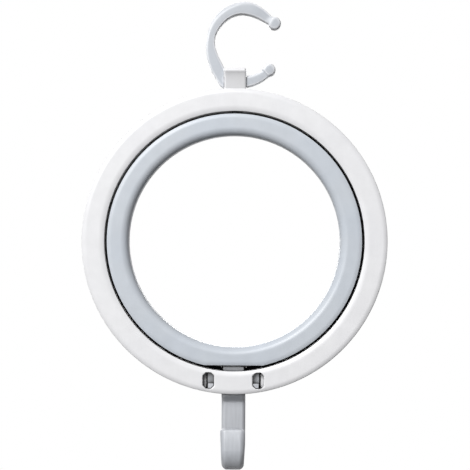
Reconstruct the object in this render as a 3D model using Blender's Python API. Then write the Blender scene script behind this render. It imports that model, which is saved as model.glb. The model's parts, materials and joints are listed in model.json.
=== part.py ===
"""Accessory organiser hook: a swivelling ring inside a fixed ring, hung from a rod clip.

The outer ring is two half shells. Their knuckle traps the journal of the rod clip, and their
foot traps the T-shaped head of a J hook. The inner ring, also two half shells, turns about the
upright axis on two pins. Metres, +Z up, the front faces -Y, and the origin is the centre of the
rod that the clip hangs from.
"""

import math

import bmesh
import bpy
import numpy as np
from mathutils import Matrix, Vector

# Gaps and walls that several pieces share
SEAM_GAP = 0.0003
RUNNING_GAP = 0.00025
WALL = 0.0015
CAVITY_CORNER = 0.0005
EMBED = 0.0005
OVERRUN = 0.002

# Inner ring
HOLE_RADIUS = 0.0532
INNER_RING_WIDTH = 0.0108
INNER_RING_DEPTH = 0.0116
INNER_RING_BORE_ROUND = 0.004
INNER_RING_RIM_ROUND = 0.0015

# Outer ring
SWIVEL_GAP = 0.0012
OUTER_RING_WIDTH = 0.0115
OUTER_RING_DEPTH = 0.012
OUTER_RING_BORE_ROUND = 0.0018
OUTER_RING_RIM_ROUND = 0.0025

# Pivot pins and their seats
PIN_RADIUS = 0.0015
PIN_BEARING_LENGTH = 0.0042
PIN_HEAD_RADIUS = 0.003
PIN_HEAD_LENGTH = 0.002
PIN_SEAT_WIDTH = 0.010
THRUST_BOSS_RADIUS = 0.0023
thrust_boss_share = 0.5

# Locating pegs that join each pair of half shells
PEG_RADIUS = 0.0012
PEG_REACH = 0.0032
PEG_BOSS_RADIUS = 0.0020
SOCKET_BOSS_RADIUS = 0.0026
PEG_ANGLES = (35, 90, 145, 215, 270, 325)

# Knuckle on the crown of the outer ring
KNUCKLE_WIDTH = 0.011
KNUCKLE_HEIGHT = 0.0105
KNUCKLE_DEPTH = 0.0104
KNUCKLE_ROUND = 0.0025

# Rod clip
JOURNAL_RADIUS = 0.0026
JOURNAL_RISE = 0.0038
ROD_RISE = 0.0205
ROD_SIDE = 0.0028
ROD_SPACE_RADIUS = 0.0134
CLIP_DEPTH = 0.0056
BALL_RADIUS = 0.0033
LOWER_ARM_BEND = 0.0191
LOWER_ARM_SWEEP = 47
LOWER_ARM_ROOT = 0.0060
LOWER_ARM_NECK = 0.0046
lower_arm_start_share = 0.55
ball_place_share = 1.43
BALL_ANGLE = 28.7

# The clip's arm, on rays from the rod's centre: the ray's angle in degrees, then its inner edge
# and outer edge as shares of the rod space's radius, and its depth as a share of the clip's
clip_arm_shares = (
    (31, 1.24, 1.50, 0.76),
    (37, 1.17, 1.487, 0.82),
    (52, 1.08, 1.483, 0.92),
    (70, 1.03, 1.515, 1.00),
    (88, 1.019, 1.510, 1.00),
    (103, 1.00, 1.457, 1.00),
    (121, 0.97, 1.408, 0.98),
    (143, 0.955, 1.353, 0.95),
    (161, 0.975, 1.308, 0.92),
    (178, 0.99, 1.307, 0.92),
    (190, 0.992, 1.340, 0.94),
    (211, 1.015, 1.460, 0.97),
    (236, 1.17, 1.700, 1.00),
    (250, 1.40, 1.880, 1.00),
    (256, 1.50, 1.820, 1.00),
)

# Windows in the front half of the outer ring's foot
WINDOW_PLACE = 0.01245
WINDOW_WIDTH = 0.0057
WINDOW_CORNER = 0.0016
WINDOW_CHAMFER = 0.0004
WINDOW_MARGIN = 0.0002

# J hook: its head in the foot of the ring, then its shank, bend and lip
HEAD_WIDTH = 0.0105
HEAD_RISE = 0.0023
HEAD_SLOT_GAP = 0.0015
HEAD_SWING_GAP = 0.0005
FLAT_GAP = 0.0006
ARM_OVER_MIDDLE = 0.00048
ARM_RECESS = 0.0030
ARM_END_GAP = 0.0007
POCKET_RIB = 0.0015
NOSE_HEIGHT = 0.0023
NOSE_CORNER = 0.0014
NOSE_RECESS = 0.0010
NOSE_SLOPE = 0.0005
SHANK_WIDTH = 0.0120
SHANK_ROOT = 0.0064
SHANK_THICKNESS = 0.0050
SET_BACK_DROP = 0.0049
BEND_RADIUS = 0.0110
HOOK_DROP = 0.0373
BEND_WIDTH = 0.0110
LIP_RISE = 0.0088
LIP_WIDTH = 0.0123
LIP_THICKNESS = 0.0036
LIP_LEAN = 0.0008
HOOK_INNER_ROUND = 0.0015
HOOK_OUTER_ROUND = 0.0023
LIP_TIP_ROUND = 0.0015

# How the lip's tip closes: how far in and how far ahead each outline lies, as shares of its rounding
tip_shares = ((0.3, 0.7), (0.9, 1.0))
fullest_corner_share = 0.95

# Facets of the curved faces
RING_FACETS = 56
PIN_FACETS = 16
JOURNAL_FACETS = 20
BOSS_FACETS = 12
RECESS_FACETS = 32
CLIP_STEPS = 24

# Sizes that follow from those above, measured from the centre of the rings
INNER_RING_RADIUS = HOLE_RADIUS + INNER_RING_WIDTH
BORE_RADIUS = INNER_RING_RADIUS + SWIVEL_GAP
CROWN_RADIUS = BORE_RADIUS + OUTER_RING_WIDTH
INNER_FACE = INNER_RING_DEPTH / 2
OUTER_FACE = OUTER_RING_DEPTH / 2
CAVITY_FLOOR = OUTER_FACE - WALL
CAVITY_INNER = BORE_RADIUS + WALL
CAVITY_OUTER = CROWN_RADIUS - WALL
CAVITY_ROUND = max(OUTER_RING_RIM_ROUND - WALL, CAVITY_CORNER)
SEAM_FACE = SEAM_GAP / 2
HEAD_TOP = BORE_RADIUS - HEAD_RISE
FLAT_DROP = HEAD_TOP - FLAT_GAP
JOURNAL_HEIGHT = CROWN_RADIUS + JOURNAL_RISE
ROD_HEIGHT = JOURNAL_HEIGHT + ROD_RISE
SHOULDER = KNUCKLE_WIDTH / 2 + SEAM_GAP
PIVOT_BORE_RADIUS = PIN_RADIUS + RUNNING_GAP
ARM_REACH = WINDOW_PLACE + ARM_OVER_MIDDLE
HEAD_DEPTH = CAVITY_FLOOR - CAVITY_ROUND - SEAM_GAP
SWING_RADIUS = math.hypot(HEAD_WIDTH / 2, HEAD_DEPTH) + HEAD_SWING_GAP

WHITE = (0.86, 0.865, 0.87, 1.0)
GREY = (0.56, 0.60, 0.65, 1.0)


def clear_scene():
    """Removes whatever the open scene holds."""
    for obj in list(bpy.data.objects):
        bpy.data.objects.remove(obj, do_unlink=True)


def plastic(name, colour, roughness):
    """A plain moulded plastic."""
    material = bpy.data.materials.new(name)
    material.use_nodes = True
    shader = material.node_tree.nodes["Principled BSDF"]
    shader.inputs["Base Color"].default_value = colour
    shader.inputs["Roughness"].default_value = roughness
    shader.inputs["Metallic"].default_value = 0.0
    return material


def empty_at(name, place):
    """An empty that carries the pieces whose sizes are measured from it."""
    empty = bpy.data.objects.new(name, None)
    empty.location = place
    empty.empty_display_size = WALL
    bpy.context.scene.collection.objects.link(empty)
    return empty


def solid(name, verts, faces, parent):
    """A closed mesh object with its faces turned outwards."""
    mesh = bpy.data.meshes.new(name)
    mesh.from_pydata([tuple(float(v) for v in vert) for vert in verts], [], faces)
    work = bmesh.new()
    work.from_mesh(mesh)
    bmesh.ops.recalc_face_normals(work, faces=work.faces)
    work.to_mesh(mesh)
    work.free()
    obj = bpy.data.objects.new(name, mesh)
    obj.parent = parent
    bpy.context.scene.collection.objects.link(obj)
    return obj


def loft(name, rings, parent, closed):
    """Skins a stack of outlines, an array of (outline, point, xyz), round on itself when closed."""
    count, size = rings.shape[:2]
    faces = []
    for i in range(count if closed else count - 1):
        here, there = i * size, (i + 1) % count * size
        for j in range(size):
            k = (j + 1) % size
            faces.append((here + j, here + k, there + k, there + j))
    if not closed:
        faces.append(tuple(range(size)))
        faces.append(tuple(range((count - 1) * size, count * size)))
    return solid(name, rings.reshape(-1, 3), faces, parent)


def prism(name, outline, low, high, axis, parent):
    """Extrudes a flat outline along x, y or z from low to high; the outline holds the other two axes."""
    ends = []
    for level in (low, high):
        ends.append(np.insert(np.array(outline, dtype=float), "xyz".index(axis), level, axis=1))
    return loft(name, np.array(ends), parent, closed=False)


def rectangle(low_a, high_a, low_b, high_b):
    """The outline of an upright rectangle."""
    return [(low_a, low_b), (high_a, low_b), (high_a, high_b), (low_a, high_b)]


def circle(centre, radius, facets):
    """The corners of a regular outline whose first corner lies on the first axis."""
    turns = [2 * math.pi * i / facets for i in range(facets)]
    return [(centre[0] + radius * math.cos(t), centre[1] + radius * math.sin(t)) for t in turns]


def arc(centre, radius, start, end, steps):
    """Points on an arc between two angles in degrees."""
    turns = np.radians(np.linspace(start, end, steps + 1))
    return [(centre[0] + radius * math.cos(t), centre[1] + radius * math.sin(t)) for t in turns]


def combine(target, tool, operation):
    """Adds a tool solid to the target or cuts it out, and keeps the tool out of the model."""
    tool.hide_render = True
    tool.display_type = "WIRE"
    change = target.modifiers.new(tool.name, "BOOLEAN")
    change.operation = operation
    change.solver = "EXACT"
    change.object = tool


def finish(obj, material):
    """Gives a piece its material and smooth shading between its real edges."""
    obj.data.materials.append(material)
    obj.data.shade_smooth()
    obj.data.set_sharp_from_angle(angle=math.radians(40))
    return obj


def half_shell_profile(inner, outer, face, inner_round, outer_round):
    """Closed (radius, depth) outline of half a hollow ring, open at the seam, on its +Y side."""
    skin = [(inner, SEAM_FACE)]
    skin += arc((inner + inner_round, face - inner_round), inner_round, 180, 90, 3)
    skin += arc((outer - outer_round, face - outer_round), outer_round, 90, 0, 3)
    skin += [(outer, SEAM_FACE)]
    low, high, floor = inner + WALL, outer - WALL, face - WALL
    low_round = max(inner_round - WALL, CAVITY_CORNER)
    high_round = max(outer_round - WALL, CAVITY_CORNER)
    cavity = [(high, SEAM_FACE)]
    cavity += arc((high - high_round, floor - high_round), high_round, 0, 90, 1)
    cavity += arc((low + low_round, floor - low_round), low_round, 90, 180, 1)
    cavity += [(low, SEAM_FACE)]
    return skin + cavity


def ring_half(name, side, profile_at, angles, parent):
    """Carries a (radius, depth) profile round the ring's Y axis; side is -1 in front, 1 behind."""
    rings = []
    for angle in angles:
        profile = np.array(profile_at(angle))
        across = profile[:, 0] * math.sin(angle)
        upright = profile[:, 0] * math.cos(angle)
        rings.append(np.column_stack((across, side * profile[:, 1], upright)))
    return loft(name, np.array(rings), parent, closed=True)


def inner_ring_reach(angle):
    """Outer radius of the front half at an angle from the top, with its foot cut straight."""
    fall = -math.cos(angle)
    if fall * INNER_RING_RADIUS <= FLAT_DROP:
        return INNER_RING_RADIUS
    return FLAT_DROP / fall


def inner_ring_profile(reach):
    """Profile of the inner ring where its outer radius has the given reach."""
    return half_shell_profile(HOLE_RADIUS, reach, INNER_FACE,
                              INNER_RING_BORE_ROUND, INNER_RING_RIM_ROUND)


def outer_ring_profile(angle):
    """Profile of the outer ring, the same all round."""
    return half_shell_profile(BORE_RADIUS, CROWN_RADIUS, OUTER_FACE,
                              OUTER_RING_BORE_ROUND, OUTER_RING_RIM_ROUND)


def span(side, near, far):
    """The stretch along Y between two distances from the seam plane, as low and high."""
    return min(side * near, side * far), max(side * near, side * far)


def add_locating_bosses(shell, side, radius, floor, parent):
    """Pegs on the rear half and sockets for them in the front half, round the cavity's middle."""
    for degrees in PEG_ANGLES:
        turn = math.radians(degrees)
        centre = (radius * math.sin(turn), radius * math.cos(turn))
        tag = f"{shell.name}_boss_{degrees}"
        boss_radius = PEG_BOSS_RADIUS if side > 0 else SOCKET_BOSS_RADIUS
        low, high = span(side, SEAM_FACE, floor + EMBED)
        boss = prism(tag, circle(centre, boss_radius, BOSS_FACETS), low, high, "y", parent)
        combine(shell, boss, "UNION")
        if side > 0:
            low, high = -PEG_REACH, floor
            peg = prism(tag + "_peg", circle(centre, PEG_RADIUS, BOSS_FACETS), low, high, "y", parent)
            combine(shell, peg, "UNION")
        else:
            bore = circle(centre, PEG_RADIUS + SEAM_GAP, BOSS_FACETS)
            low, high = -PEG_REACH - SEAM_GAP, OVERRUN
            combine(shell, prism(tag + "_bore", bore, low, high, "y", parent), "DIFFERENCE")


def add_pin_seat(shell, side, wall_face, up, parent):
    """A block behind the inner ring's outer wall with the pocket that holds a pin's head."""
    low, high = span(side, SEAM_FACE, INNER_FACE - WALL + EMBED)
    pocket_depth = PIN_HEAD_LENGTH + 2 * SEAM_GAP
    inward, outward = wall_face - WALL - pocket_depth - WALL, wall_face - WALL + EMBED
    block = rectangle(-PIN_SEAT_WIDTH / 2, PIN_SEAT_WIDTH / 2, low, high)
    tag = shell.name + ("_top" if up > 0 else "_foot")
    combine(shell, prism(tag + "_seat", block, *sorted((up * inward, up * outward)), "z", parent), "UNION")
    if up > 0:
        boss_top = INNER_RING_RADIUS + thrust_boss_share * SWIVEL_GAP
        half_disc = [(x, side * max(y, SEAM_FACE)) for x, y in arc((0, 0), THRUST_BOSS_RADIUS, 0, 180, 8)]
        boss = prism(tag + "_thrust", half_disc, wall_face - EMBED, boss_top, "z", parent)
        combine(shell, boss, "UNION")
    pocket = circle((0, 0), PIN_HEAD_RADIUS + SEAM_GAP, PIN_FACETS)
    inward, outward = wall_face - WALL - pocket_depth, wall_face - WALL
    combine(shell, prism(tag + "_pocket", pocket, *sorted((up * inward, up * outward)), "z", parent),
            "DIFFERENCE")
    hole = circle((0, 0), PIN_RADIUS + SEAM_GAP, PIN_FACETS)
    inward, outward = wall_face - WALL - EMBED, wall_face + OVERRUN
    combine(shell, prism(tag + "_hole", hole, *sorted((up * inward, up * outward)), "z", parent),
            "DIFFERENCE")


def add_head_recess(shell, parent):
    """The floored round recess in the rear half's foot that clears the hook's head as the ring turns."""
    half = SWING_RADIUS + WALL
    floor = rectangle(-half, half, SEAM_FACE, INNER_FACE - WALL + EMBED)
    floor = prism(shell.name + "_floor", floor, -FLAT_DROP - EMBED, -FLAT_DROP + WALL, "z", parent)
    combine(shell, floor, "UNION")
    recess = circle((0, 0), SWING_RADIUS, RECESS_FACETS)
    recess = prism(shell.name + "_recess", recess, -INNER_RING_RADIUS - OVERRUN, -FLAT_DROP, "z", parent)
    combine(shell, recess, "DIFFERENCE")


def inner_ring_half(name, side, parent):
    """One half shell of the swivelling ring: the front one ends in a flat, the rear one in a recess."""
    angles = [2 * math.pi * i / RING_FACETS for i in range(RING_FACETS)]
    if side < 0:
        chord_end = math.acos(FLAT_DROP / INNER_RING_RADIUS)
        angles = sorted(angles + [math.pi - chord_end, math.pi + chord_end])
        shell = ring_half(name, side, lambda angle: inner_ring_profile(inner_ring_reach(angle)),
                          angles, parent)
    else:
        shell = ring_half(name, side, lambda angle: inner_ring_profile(INNER_RING_RADIUS),
                          angles, parent)
        add_head_recess(shell, parent)
    middle = (HOLE_RADIUS + INNER_RING_RADIUS) / 2
    add_locating_bosses(shell, side, middle, INNER_FACE - WALL, parent)
    add_pin_seat(shell, side, INNER_RING_RADIUS, 1, parent)
    add_pin_seat(shell, side, FLAT_DROP, -1, parent)
    return shell


def pivot_pin(name, wall_face, tip, up, parent):
    """A headed pin: the head sits inside the inner ring's wall and the shaft reaches out to its tip."""
    under_head = wall_face - WALL - SEAM_GAP
    outline = [(0, under_head - PIN_HEAD_LENGTH), (PIN_HEAD_RADIUS, under_head - PIN_HEAD_LENGTH),
               (PIN_HEAD_RADIUS, under_head), (PIN_RADIUS, under_head),
               (PIN_RADIUS, tip - PIN_RADIUS / 3), (PIN_RADIUS * 2 / 3, tip), (0, tip)]
    verts, faces = [(0, 0, up * outline[0][1]), (0, 0, up * outline[-1][1])], []
    rows = []
    for radius, height in outline[1:-1]:
        rows.append(range(len(verts), len(verts) + PIN_FACETS))
        verts += [(x, y, up * height) for x, y in circle((0, 0), radius, PIN_FACETS)]
    for j in range(PIN_FACETS):
        k = (j + 1) % PIN_FACETS
        faces.append((0, rows[0][j], rows[0][k]))
        faces.append((1, rows[-1][k], rows[-1][j]))
        for below, above in zip(rows, rows[1:]):
            faces.append((below[j], below[k], above[k], above[j]))
    return solid(name, verts, faces, parent)


def band_outline(low_x, high_x, inner, outer, steps):
    """Outline, in x and z, of a stretch of the ring's foot between two radii and two x places."""
    across = np.linspace(low_x, high_x, steps + 1)
    lower = [(x, -math.sqrt(outer ** 2 - x ** 2)) for x in across]
    upper = [(x, -math.sqrt(inner ** 2 - x ** 2)) for x in across[::-1]]
    return lower + upper


def window_levels():
    """Height of a window's top and bottom edge: the cavity's width, less a margin, at its middle."""
    top = -math.sqrt((CAVITY_INNER + WINDOW_MARGIN) ** 2 - WINDOW_PLACE ** 2)
    bottom = -math.sqrt((CAVITY_OUTER - WINDOW_MARGIN) ** 2 - WINDOW_PLACE ** 2)
    return top, bottom


def window_outline(side, grow):
    """Outline, in x and z, of one window with cut corners, grown by a margin all round."""
    top, bottom = window_levels()
    left, right = -WINDOW_WIDTH / 2 - grow, WINDOW_WIDTH / 2 + grow
    top, bottom = top + grow, bottom - grow
    cut = WINDOW_CORNER
    outline = [(left + cut, bottom), (right - cut, bottom), (right, bottom + cut), (right, top - cut),
               (right - cut, top), (left + cut, top), (left, top - cut), (left, bottom + cut)]
    return [(side * WINDOW_PLACE + x, z) for x, z in outline]


def window_cutter(name, side, parent):
    """A window's hole through the front face, with its chamfered mouth."""
    levels = ((-OUTER_FACE - OVERRUN, WINDOW_CHAMFER), (-OUTER_FACE, WINDOW_CHAMFER),
              (-OUTER_FACE + WINDOW_CHAMFER, 0), (-CAVITY_FLOOR + OVERRUN, 0))
    rings = []
    for depth, grow in levels:
        rings.append(np.insert(np.array(window_outline(side, grow)), 1, depth, axis=1))
    return loft(name, np.array(rings), parent, closed=False)


def add_knuckle(shell, side, parent):
    """Half of the knuckle on the crown, with the bore that the clip's journal turns in."""
    depth, top = KNUCKLE_DEPTH / 2, CROWN_RADIUS + KNUCKLE_HEIGHT
    root = CROWN_RADIUS - WALL + EMBED
    outline = [(SEAM_FACE, root), (depth, root)]
    outline += arc((depth - KNUCKLE_ROUND, top - KNUCKLE_ROUND), KNUCKLE_ROUND, 0, 90, 5)
    outline += [(SEAM_FACE, top)]
    outline = [(side * y, z) for y, z in outline]
    half = KNUCKLE_WIDTH / 2
    combine(shell, prism(shell.name + "_knuckle", outline, -half, half, "x", parent), "UNION")
    bore = circle((0, JOURNAL_HEIGHT), JOURNAL_RADIUS + RUNNING_GAP, JOURNAL_FACETS)
    reach = half + OVERRUN
    combine(shell, prism(shell.name + "_journal_bore", bore, -reach, reach, "x", parent), "DIFFERENCE")


def add_pivot_bearing(shell, side, parent):
    """Half of the block under the crown's inner wall that the top pin turns in."""
    low, high = span(side, SEAM_FACE, CAVITY_FLOOR + EMBED)
    half = PIN_SEAT_WIDTH / 2
    end = BORE_RADIUS + PIN_BEARING_LENGTH + SEAM_GAP
    block = rectangle(-half, half, low, high)
    block = prism(shell.name + "_bearing", block, CAVITY_INNER - EMBED, end + WALL, "z", parent)
    combine(shell, block, "UNION")
    bore = circle((0, 0), PIVOT_BORE_RADIUS, PIN_FACETS)
    bore = prism(shell.name + "_pivot_bore", bore, BORE_RADIUS - OVERRUN, end, "z", parent)
    combine(shell, bore, "DIFFERENCE")


def cut_hook_passages(shell, parent):
    """The slot that the hook's head rises through and the hole that its shank leaves by."""
    half = HEAD_WIDTH / 2 + HEAD_SLOT_GAP
    slot = rectangle(-half, half, -CAVITY_FLOOR, CAVITY_FLOOR)
    slot = prism(shell.name + "_slot", slot, -CAVITY_INNER - EMBED, -BORE_RADIUS + OVERRUN, "z", parent)
    combine(shell, slot, "DIFFERENCE")
    half, deep = SHANK_WIDTH / 2 + SEAM_GAP, SHANK_ROOT / 2 + SEAM_GAP
    hole = rectangle(-half, half, -deep, deep)
    hole = prism(shell.name + "_hole", hole, -CROWN_RADIUS - OVERRUN, -CAVITY_OUTER + EMBED, "z", parent)
    combine(shell, hole, "DIFFERENCE")


def outer_ring_half(name, side, parent):
    """One half shell of the fixed ring."""
    angles = [2 * math.pi * i / RING_FACETS for i in range(RING_FACETS)]
    shell = ring_half(name, side, outer_ring_profile, angles, parent)
    add_locating_bosses(shell, side, (BORE_RADIUS + CROWN_RADIUS) / 2, CAVITY_FLOOR, parent)
    add_knuckle(shell, side, parent)
    add_pivot_bearing(shell, side, parent)
    cut_hook_passages(shell, parent)
    for hand in (-1, 1):
        tag = f"{name}_{'left' if hand < 0 else 'right'}"
        if side < 0:
            combine(shell, window_cutter(tag + "_window", hand, parent), "DIFFERENCE")
        else:
            near = ARM_REACH + ARM_END_GAP
            low, high = sorted((hand * near, hand * (near + POCKET_RIB)))
            outline = band_outline(low, high, CAVITY_INNER + SEAM_GAP, CAVITY_OUTER - SEAM_GAP, 1)
            front = SEAM_FACE + SEAM_GAP
            rib = prism(tag + "_rib", outline, front, CAVITY_FLOOR + EMBED, "y", parent)
            combine(shell, rib, "UNION")
    return shell


def smooth_between(table, steps):
    """Rows of a table read off a smooth cubic through them, evenly spaced in the first column."""
    table = np.array(table, dtype=float)
    at, values = table[:, 0], table[:, 1:]
    slopes = np.gradient(values, at, axis=0)
    wanted = np.linspace(at[0], at[-1], steps + 1)
    i = np.clip(np.searchsorted(at, wanted) - 1, 0, len(at) - 2)
    width = (at[i + 1] - at[i])[:, None]
    t = (wanted - at[i])[:, None] / width
    start, end = (2 * t ** 3 - 3 * t ** 2 + 1), (3 * t ** 2 - 2 * t ** 3)
    leave, reach = (t ** 3 - 2 * t ** 2 + t) * width, (t ** 3 - t ** 2) * width
    rows = start * values[i] + leave * slopes[i] + end * values[i + 1] + reach * slopes[i + 1]
    return np.column_stack((wanted, rows))


def rounded_section(half_a, half_b, fullness, points):
    """Corners of a soft oblong; a fullness of 1 is an ellipse and a smaller one is squarer."""
    turns = 2 * math.pi * (np.arange(points) + 0.5) / points
    across, along = np.cos(turns), np.sin(turns)
    return np.column_stack((half_a * np.sign(across) * np.abs(across) ** fullness,
                            half_b * np.sign(along) * np.abs(along) ** fullness))


def clip_upper_arm(parent):
    """The C of the clip, from the upper ball round to the knuckle, as sections on rays from the rod."""
    rings = []
    for degrees, inner, outer, depth in smooth_between(clip_arm_shares, CLIP_STEPS):
        turn = math.radians(degrees)
        section = rounded_section((outer - inner) / 2 * ROD_SPACE_RADIUS, depth * CLIP_DEPTH / 2, 0.8, 12)
        radius = (outer + inner) / 2 * ROD_SPACE_RADIUS + section[:, 0]
        rings.append(np.column_stack((ROD_SIDE + radius * math.cos(turn), section[:, 1],
                                      ROD_RISE + radius * math.sin(turn))))
    return loft("rod_clip", np.array(rings), parent, closed=False)


def lower_arm_place(share):
    """Centre, in x and z, and turn of the lower arm's arc at a share of its sweep."""
    turn = math.radians(LOWER_ARM_SWEEP) * share
    start = lower_arm_start_share * KNUCKLE_WIDTH / 2
    place = (start + LOWER_ARM_BEND * math.sin(turn), LOWER_ARM_BEND * (1 - math.cos(turn)))
    return place, turn


def clip_lower_arm(parent):
    """The short arm that leaves the knuckle on the right and curls up to the lower ball."""
    rings = []
    for share in np.linspace(0, 1, 9):
        (x, z), turn = lower_arm_place(share)
        thickness = LOWER_ARM_ROOT + (LOWER_ARM_NECK - LOWER_ARM_ROOT) * share
        section = rounded_section(thickness / 2, CLIP_DEPTH / 2 * (1 - share / 5), 0.8, 12)
        rings.append(np.column_stack((x - section[:, 0] * math.sin(turn), section[:, 1],
                                      z + section[:, 0] * math.cos(turn))))
    return loft("clip_lower_arm", np.array(rings), parent, closed=False)


def ball(name, centre, parent):
    """A ball end, as a round mesh of the ball's radius."""
    work = bmesh.new()
    bmesh.ops.create_uvsphere(work, u_segments=14, v_segments=9, radius=BALL_RADIUS)
    bmesh.ops.translate(work, verts=work.verts, vec=Vector((centre[0], 0, centre[1])))
    mesh = bpy.data.meshes.new(name)
    work.to_mesh(mesh)
    work.free()
    obj = bpy.data.objects.new(name, mesh)
    obj.parent = parent
    bpy.context.scene.collection.objects.link(obj)
    return obj


def rod_clip(parent):
    """The clip, measured from its journal: both arms, cut clear of the knuckle, with the journal between."""
    clip = clip_upper_arm(parent)
    combine(clip, clip_lower_arm(parent), "UNION")
    turn = math.radians(BALL_ANGLE)
    reach = ball_place_share * ROD_SPACE_RADIUS
    upper = (ROD_SIDE + reach * math.cos(turn), ROD_RISE + reach * math.sin(turn))
    combine(clip, ball("clip_upper_ball", upper, parent), "UNION")
    combine(clip, ball("clip_lower_ball", lower_arm_place(1)[0], parent), "UNION")
    low, high = -JOURNAL_RISE - OVERRUN, KNUCKLE_HEIGHT - JOURNAL_RISE + OVERRUN
    gap = rectangle(-KNUCKLE_DEPTH, KNUCKLE_DEPTH, low, high)
    combine(clip, prism("clip_knuckle_space", gap, -SHOULDER, SHOULDER, "x", parent), "DIFFERENCE")
    journal = circle((0, 0), JOURNAL_RADIUS, JOURNAL_FACETS)
    reach = SHOULDER + EMBED
    combine(clip, prism("clip_journal", journal, -reach, reach, "x", parent), "UNION")
    return clip


def hook_path():
    """Centre line of the hook's bar, in y and z, with its width and thickness, and where the bend starts."""
    set_back = OUTER_FACE - SHANK_THICKNESS / 2
    start, leave = -(BORE_RADIUS + CROWN_RADIUS) / 2, -CROWN_RADIUS
    rows = [(0, start, SHANK_WIDTH, SHANK_ROOT), (0, leave, SHANK_WIDTH, SHANK_ROOT)]
    for share in np.linspace(0, 1, 7)[1:]:
        ease = (1 - math.cos(math.pi * share)) / 2
        thickness = SHANK_ROOT + (SHANK_THICKNESS - SHANK_ROOT) * ease
        rows.append((set_back * ease, leave - SET_BACK_DROP * share, SHANK_WIDTH, thickness))
    bend_start = len(rows)
    bend_middle = BEND_RADIUS - SHANK_THICKNESS / 2
    bend_height = -CROWN_RADIUS - HOOK_DROP + BEND_RADIUS
    widening = (LIP_WIDTH - BEND_WIDTH) / (bend_middle + LIP_RISE)
    for share in np.linspace(0, 1, 13):
        turn = math.pi * share
        climb = 1 - math.sin(turn)
        if turn < math.pi / 2:
            width = BEND_WIDTH + (SHANK_WIDTH - BEND_WIDTH) * climb
        else:
            width = BEND_WIDTH + widening * bend_middle * climb
        y = set_back - bend_middle + bend_middle * math.cos(turn)
        rows.append((y, bend_height - bend_middle * math.sin(turn), width, SHANK_THICKNESS))
    lip_foot = set_back - 2 * bend_middle
    for share in np.linspace(0, 1, 6)[1:]:
        thickness = SHANK_THICKNESS + (LIP_THICKNESS - SHANK_THICKNESS) * share
        width = BEND_WIDTH + widening * (bend_middle + LIP_RISE * share)
        rows.append((lip_foot + LIP_LEAN * share ** 2, bend_height + LIP_RISE * share, width, thickness))
    return np.array(rows), bend_start


def hook_bar(parent):
    """The bar of the hook: a bevelled flat section carried along its path and rounded at the tip."""
    path, bend_start = hook_path()
    heading = np.gradient(path[:, :2], axis=0)
    heading[:bend_start + 1] = heading[0]
    heading /= np.linalg.norm(heading, axis=1)[:, None]
    rows = [(*row, 0) for row in path]
    tip = path[-1]
    for inset_share, ahead_share in tip_shares:
        ahead = LIP_TIP_ROUND * ahead_share
        rows.append((*(tip[:2] + heading[-1] * ahead), tip[2], tip[3], LIP_TIP_ROUND * inset_share))
    rings = []
    for i, (y, z, width, thickness, inset) in enumerate(rows):
        along = heading[min(i, len(heading) - 1)]
        normal = np.array((-along[1], along[0]))
        a, b = width / 2 - inset, thickness / 2 - inset
        corners = []
        for sign_a, sign_b, start in ((1, 1, 0), (-1, 1, 90), (-1, -1, 180), (1, -1, 270)):
            room = min(HOOK_OUTER_ROUND if sign_b > 0 else HOOK_INNER_ROUND, b * fullest_corner_share)
            corners += arc((sign_a * (a - room), sign_b * (b - room)), room, start, start + 90, 2)
        corners = np.array(corners)
        rings.append(np.column_stack((corners[:, 0], y + corners[:, 1] * normal[0],
                                      z + corners[:, 1] * normal[1])))
    return loft("hook", np.array(rings), parent, closed=False)


def nose(name, hand, parent):
    """A latch nose that stands out of an arm into its window, with a sloped top."""
    _, bottom = window_levels()
    inner = WINDOW_PLACE - WINDOW_WIDTH / 2 + SEAM_GAP
    low = bottom + SEAM_GAP
    outer = ARM_REACH - SEAM_GAP
    cut = NOSE_CORNER
    outline = [(outer, low), (inner + cut, low), (inner, low + cut),
               (inner, low + NOSE_HEIGHT), (outer, low + NOSE_HEIGHT)]
    rings = []
    for depth, lift in ((-OUTER_FACE + ARM_RECESS + EMBED, NOSE_SLOPE), (-OUTER_FACE + NOSE_RECESS, 0)):
        raised = [(hand * x, depth, z + (lift if i >= 3 else 0)) for i, (x, z) in enumerate(outline)]
        rings.append(raised)
    return loft(name, np.array(rings), parent, closed=False)


def hook(parent):
    """The J hook: the bar, the head block with its pivot bore, and the two latch arms."""
    piece = hook_bar(parent)
    half = HEAD_WIDTH / 2
    block = rectangle(-half, half, -HEAD_DEPTH, HEAD_DEPTH)
    block = prism("hook_head", block, -CAVITY_OUTER + SEAM_GAP + EMBED, -HEAD_TOP, "z", parent)
    combine(piece, block, "UNION")
    outline = band_outline(-ARM_REACH, ARM_REACH, CAVITY_INNER + SEAM_GAP, CAVITY_OUTER - SEAM_GAP, 8)
    arms = prism("hook_arms", outline, -OUTER_FACE + ARM_RECESS, HEAD_DEPTH, "y", parent)
    combine(piece, arms, "UNION")
    for hand in (-1, 1):
        combine(piece, nose(f"hook_nose_{'left' if hand < 0 else 'right'}", hand, parent), "UNION")
    bore = circle((0, 0), PIVOT_BORE_RADIUS, PIN_FACETS)
    depth = -HEAD_TOP - PIN_BEARING_LENGTH - SEAM_GAP
    combine(piece, prism("hook_pivot_bore", bore, depth, -HEAD_TOP + OVERRUN, "z", parent), "DIFFERENCE")
    return piece


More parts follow.
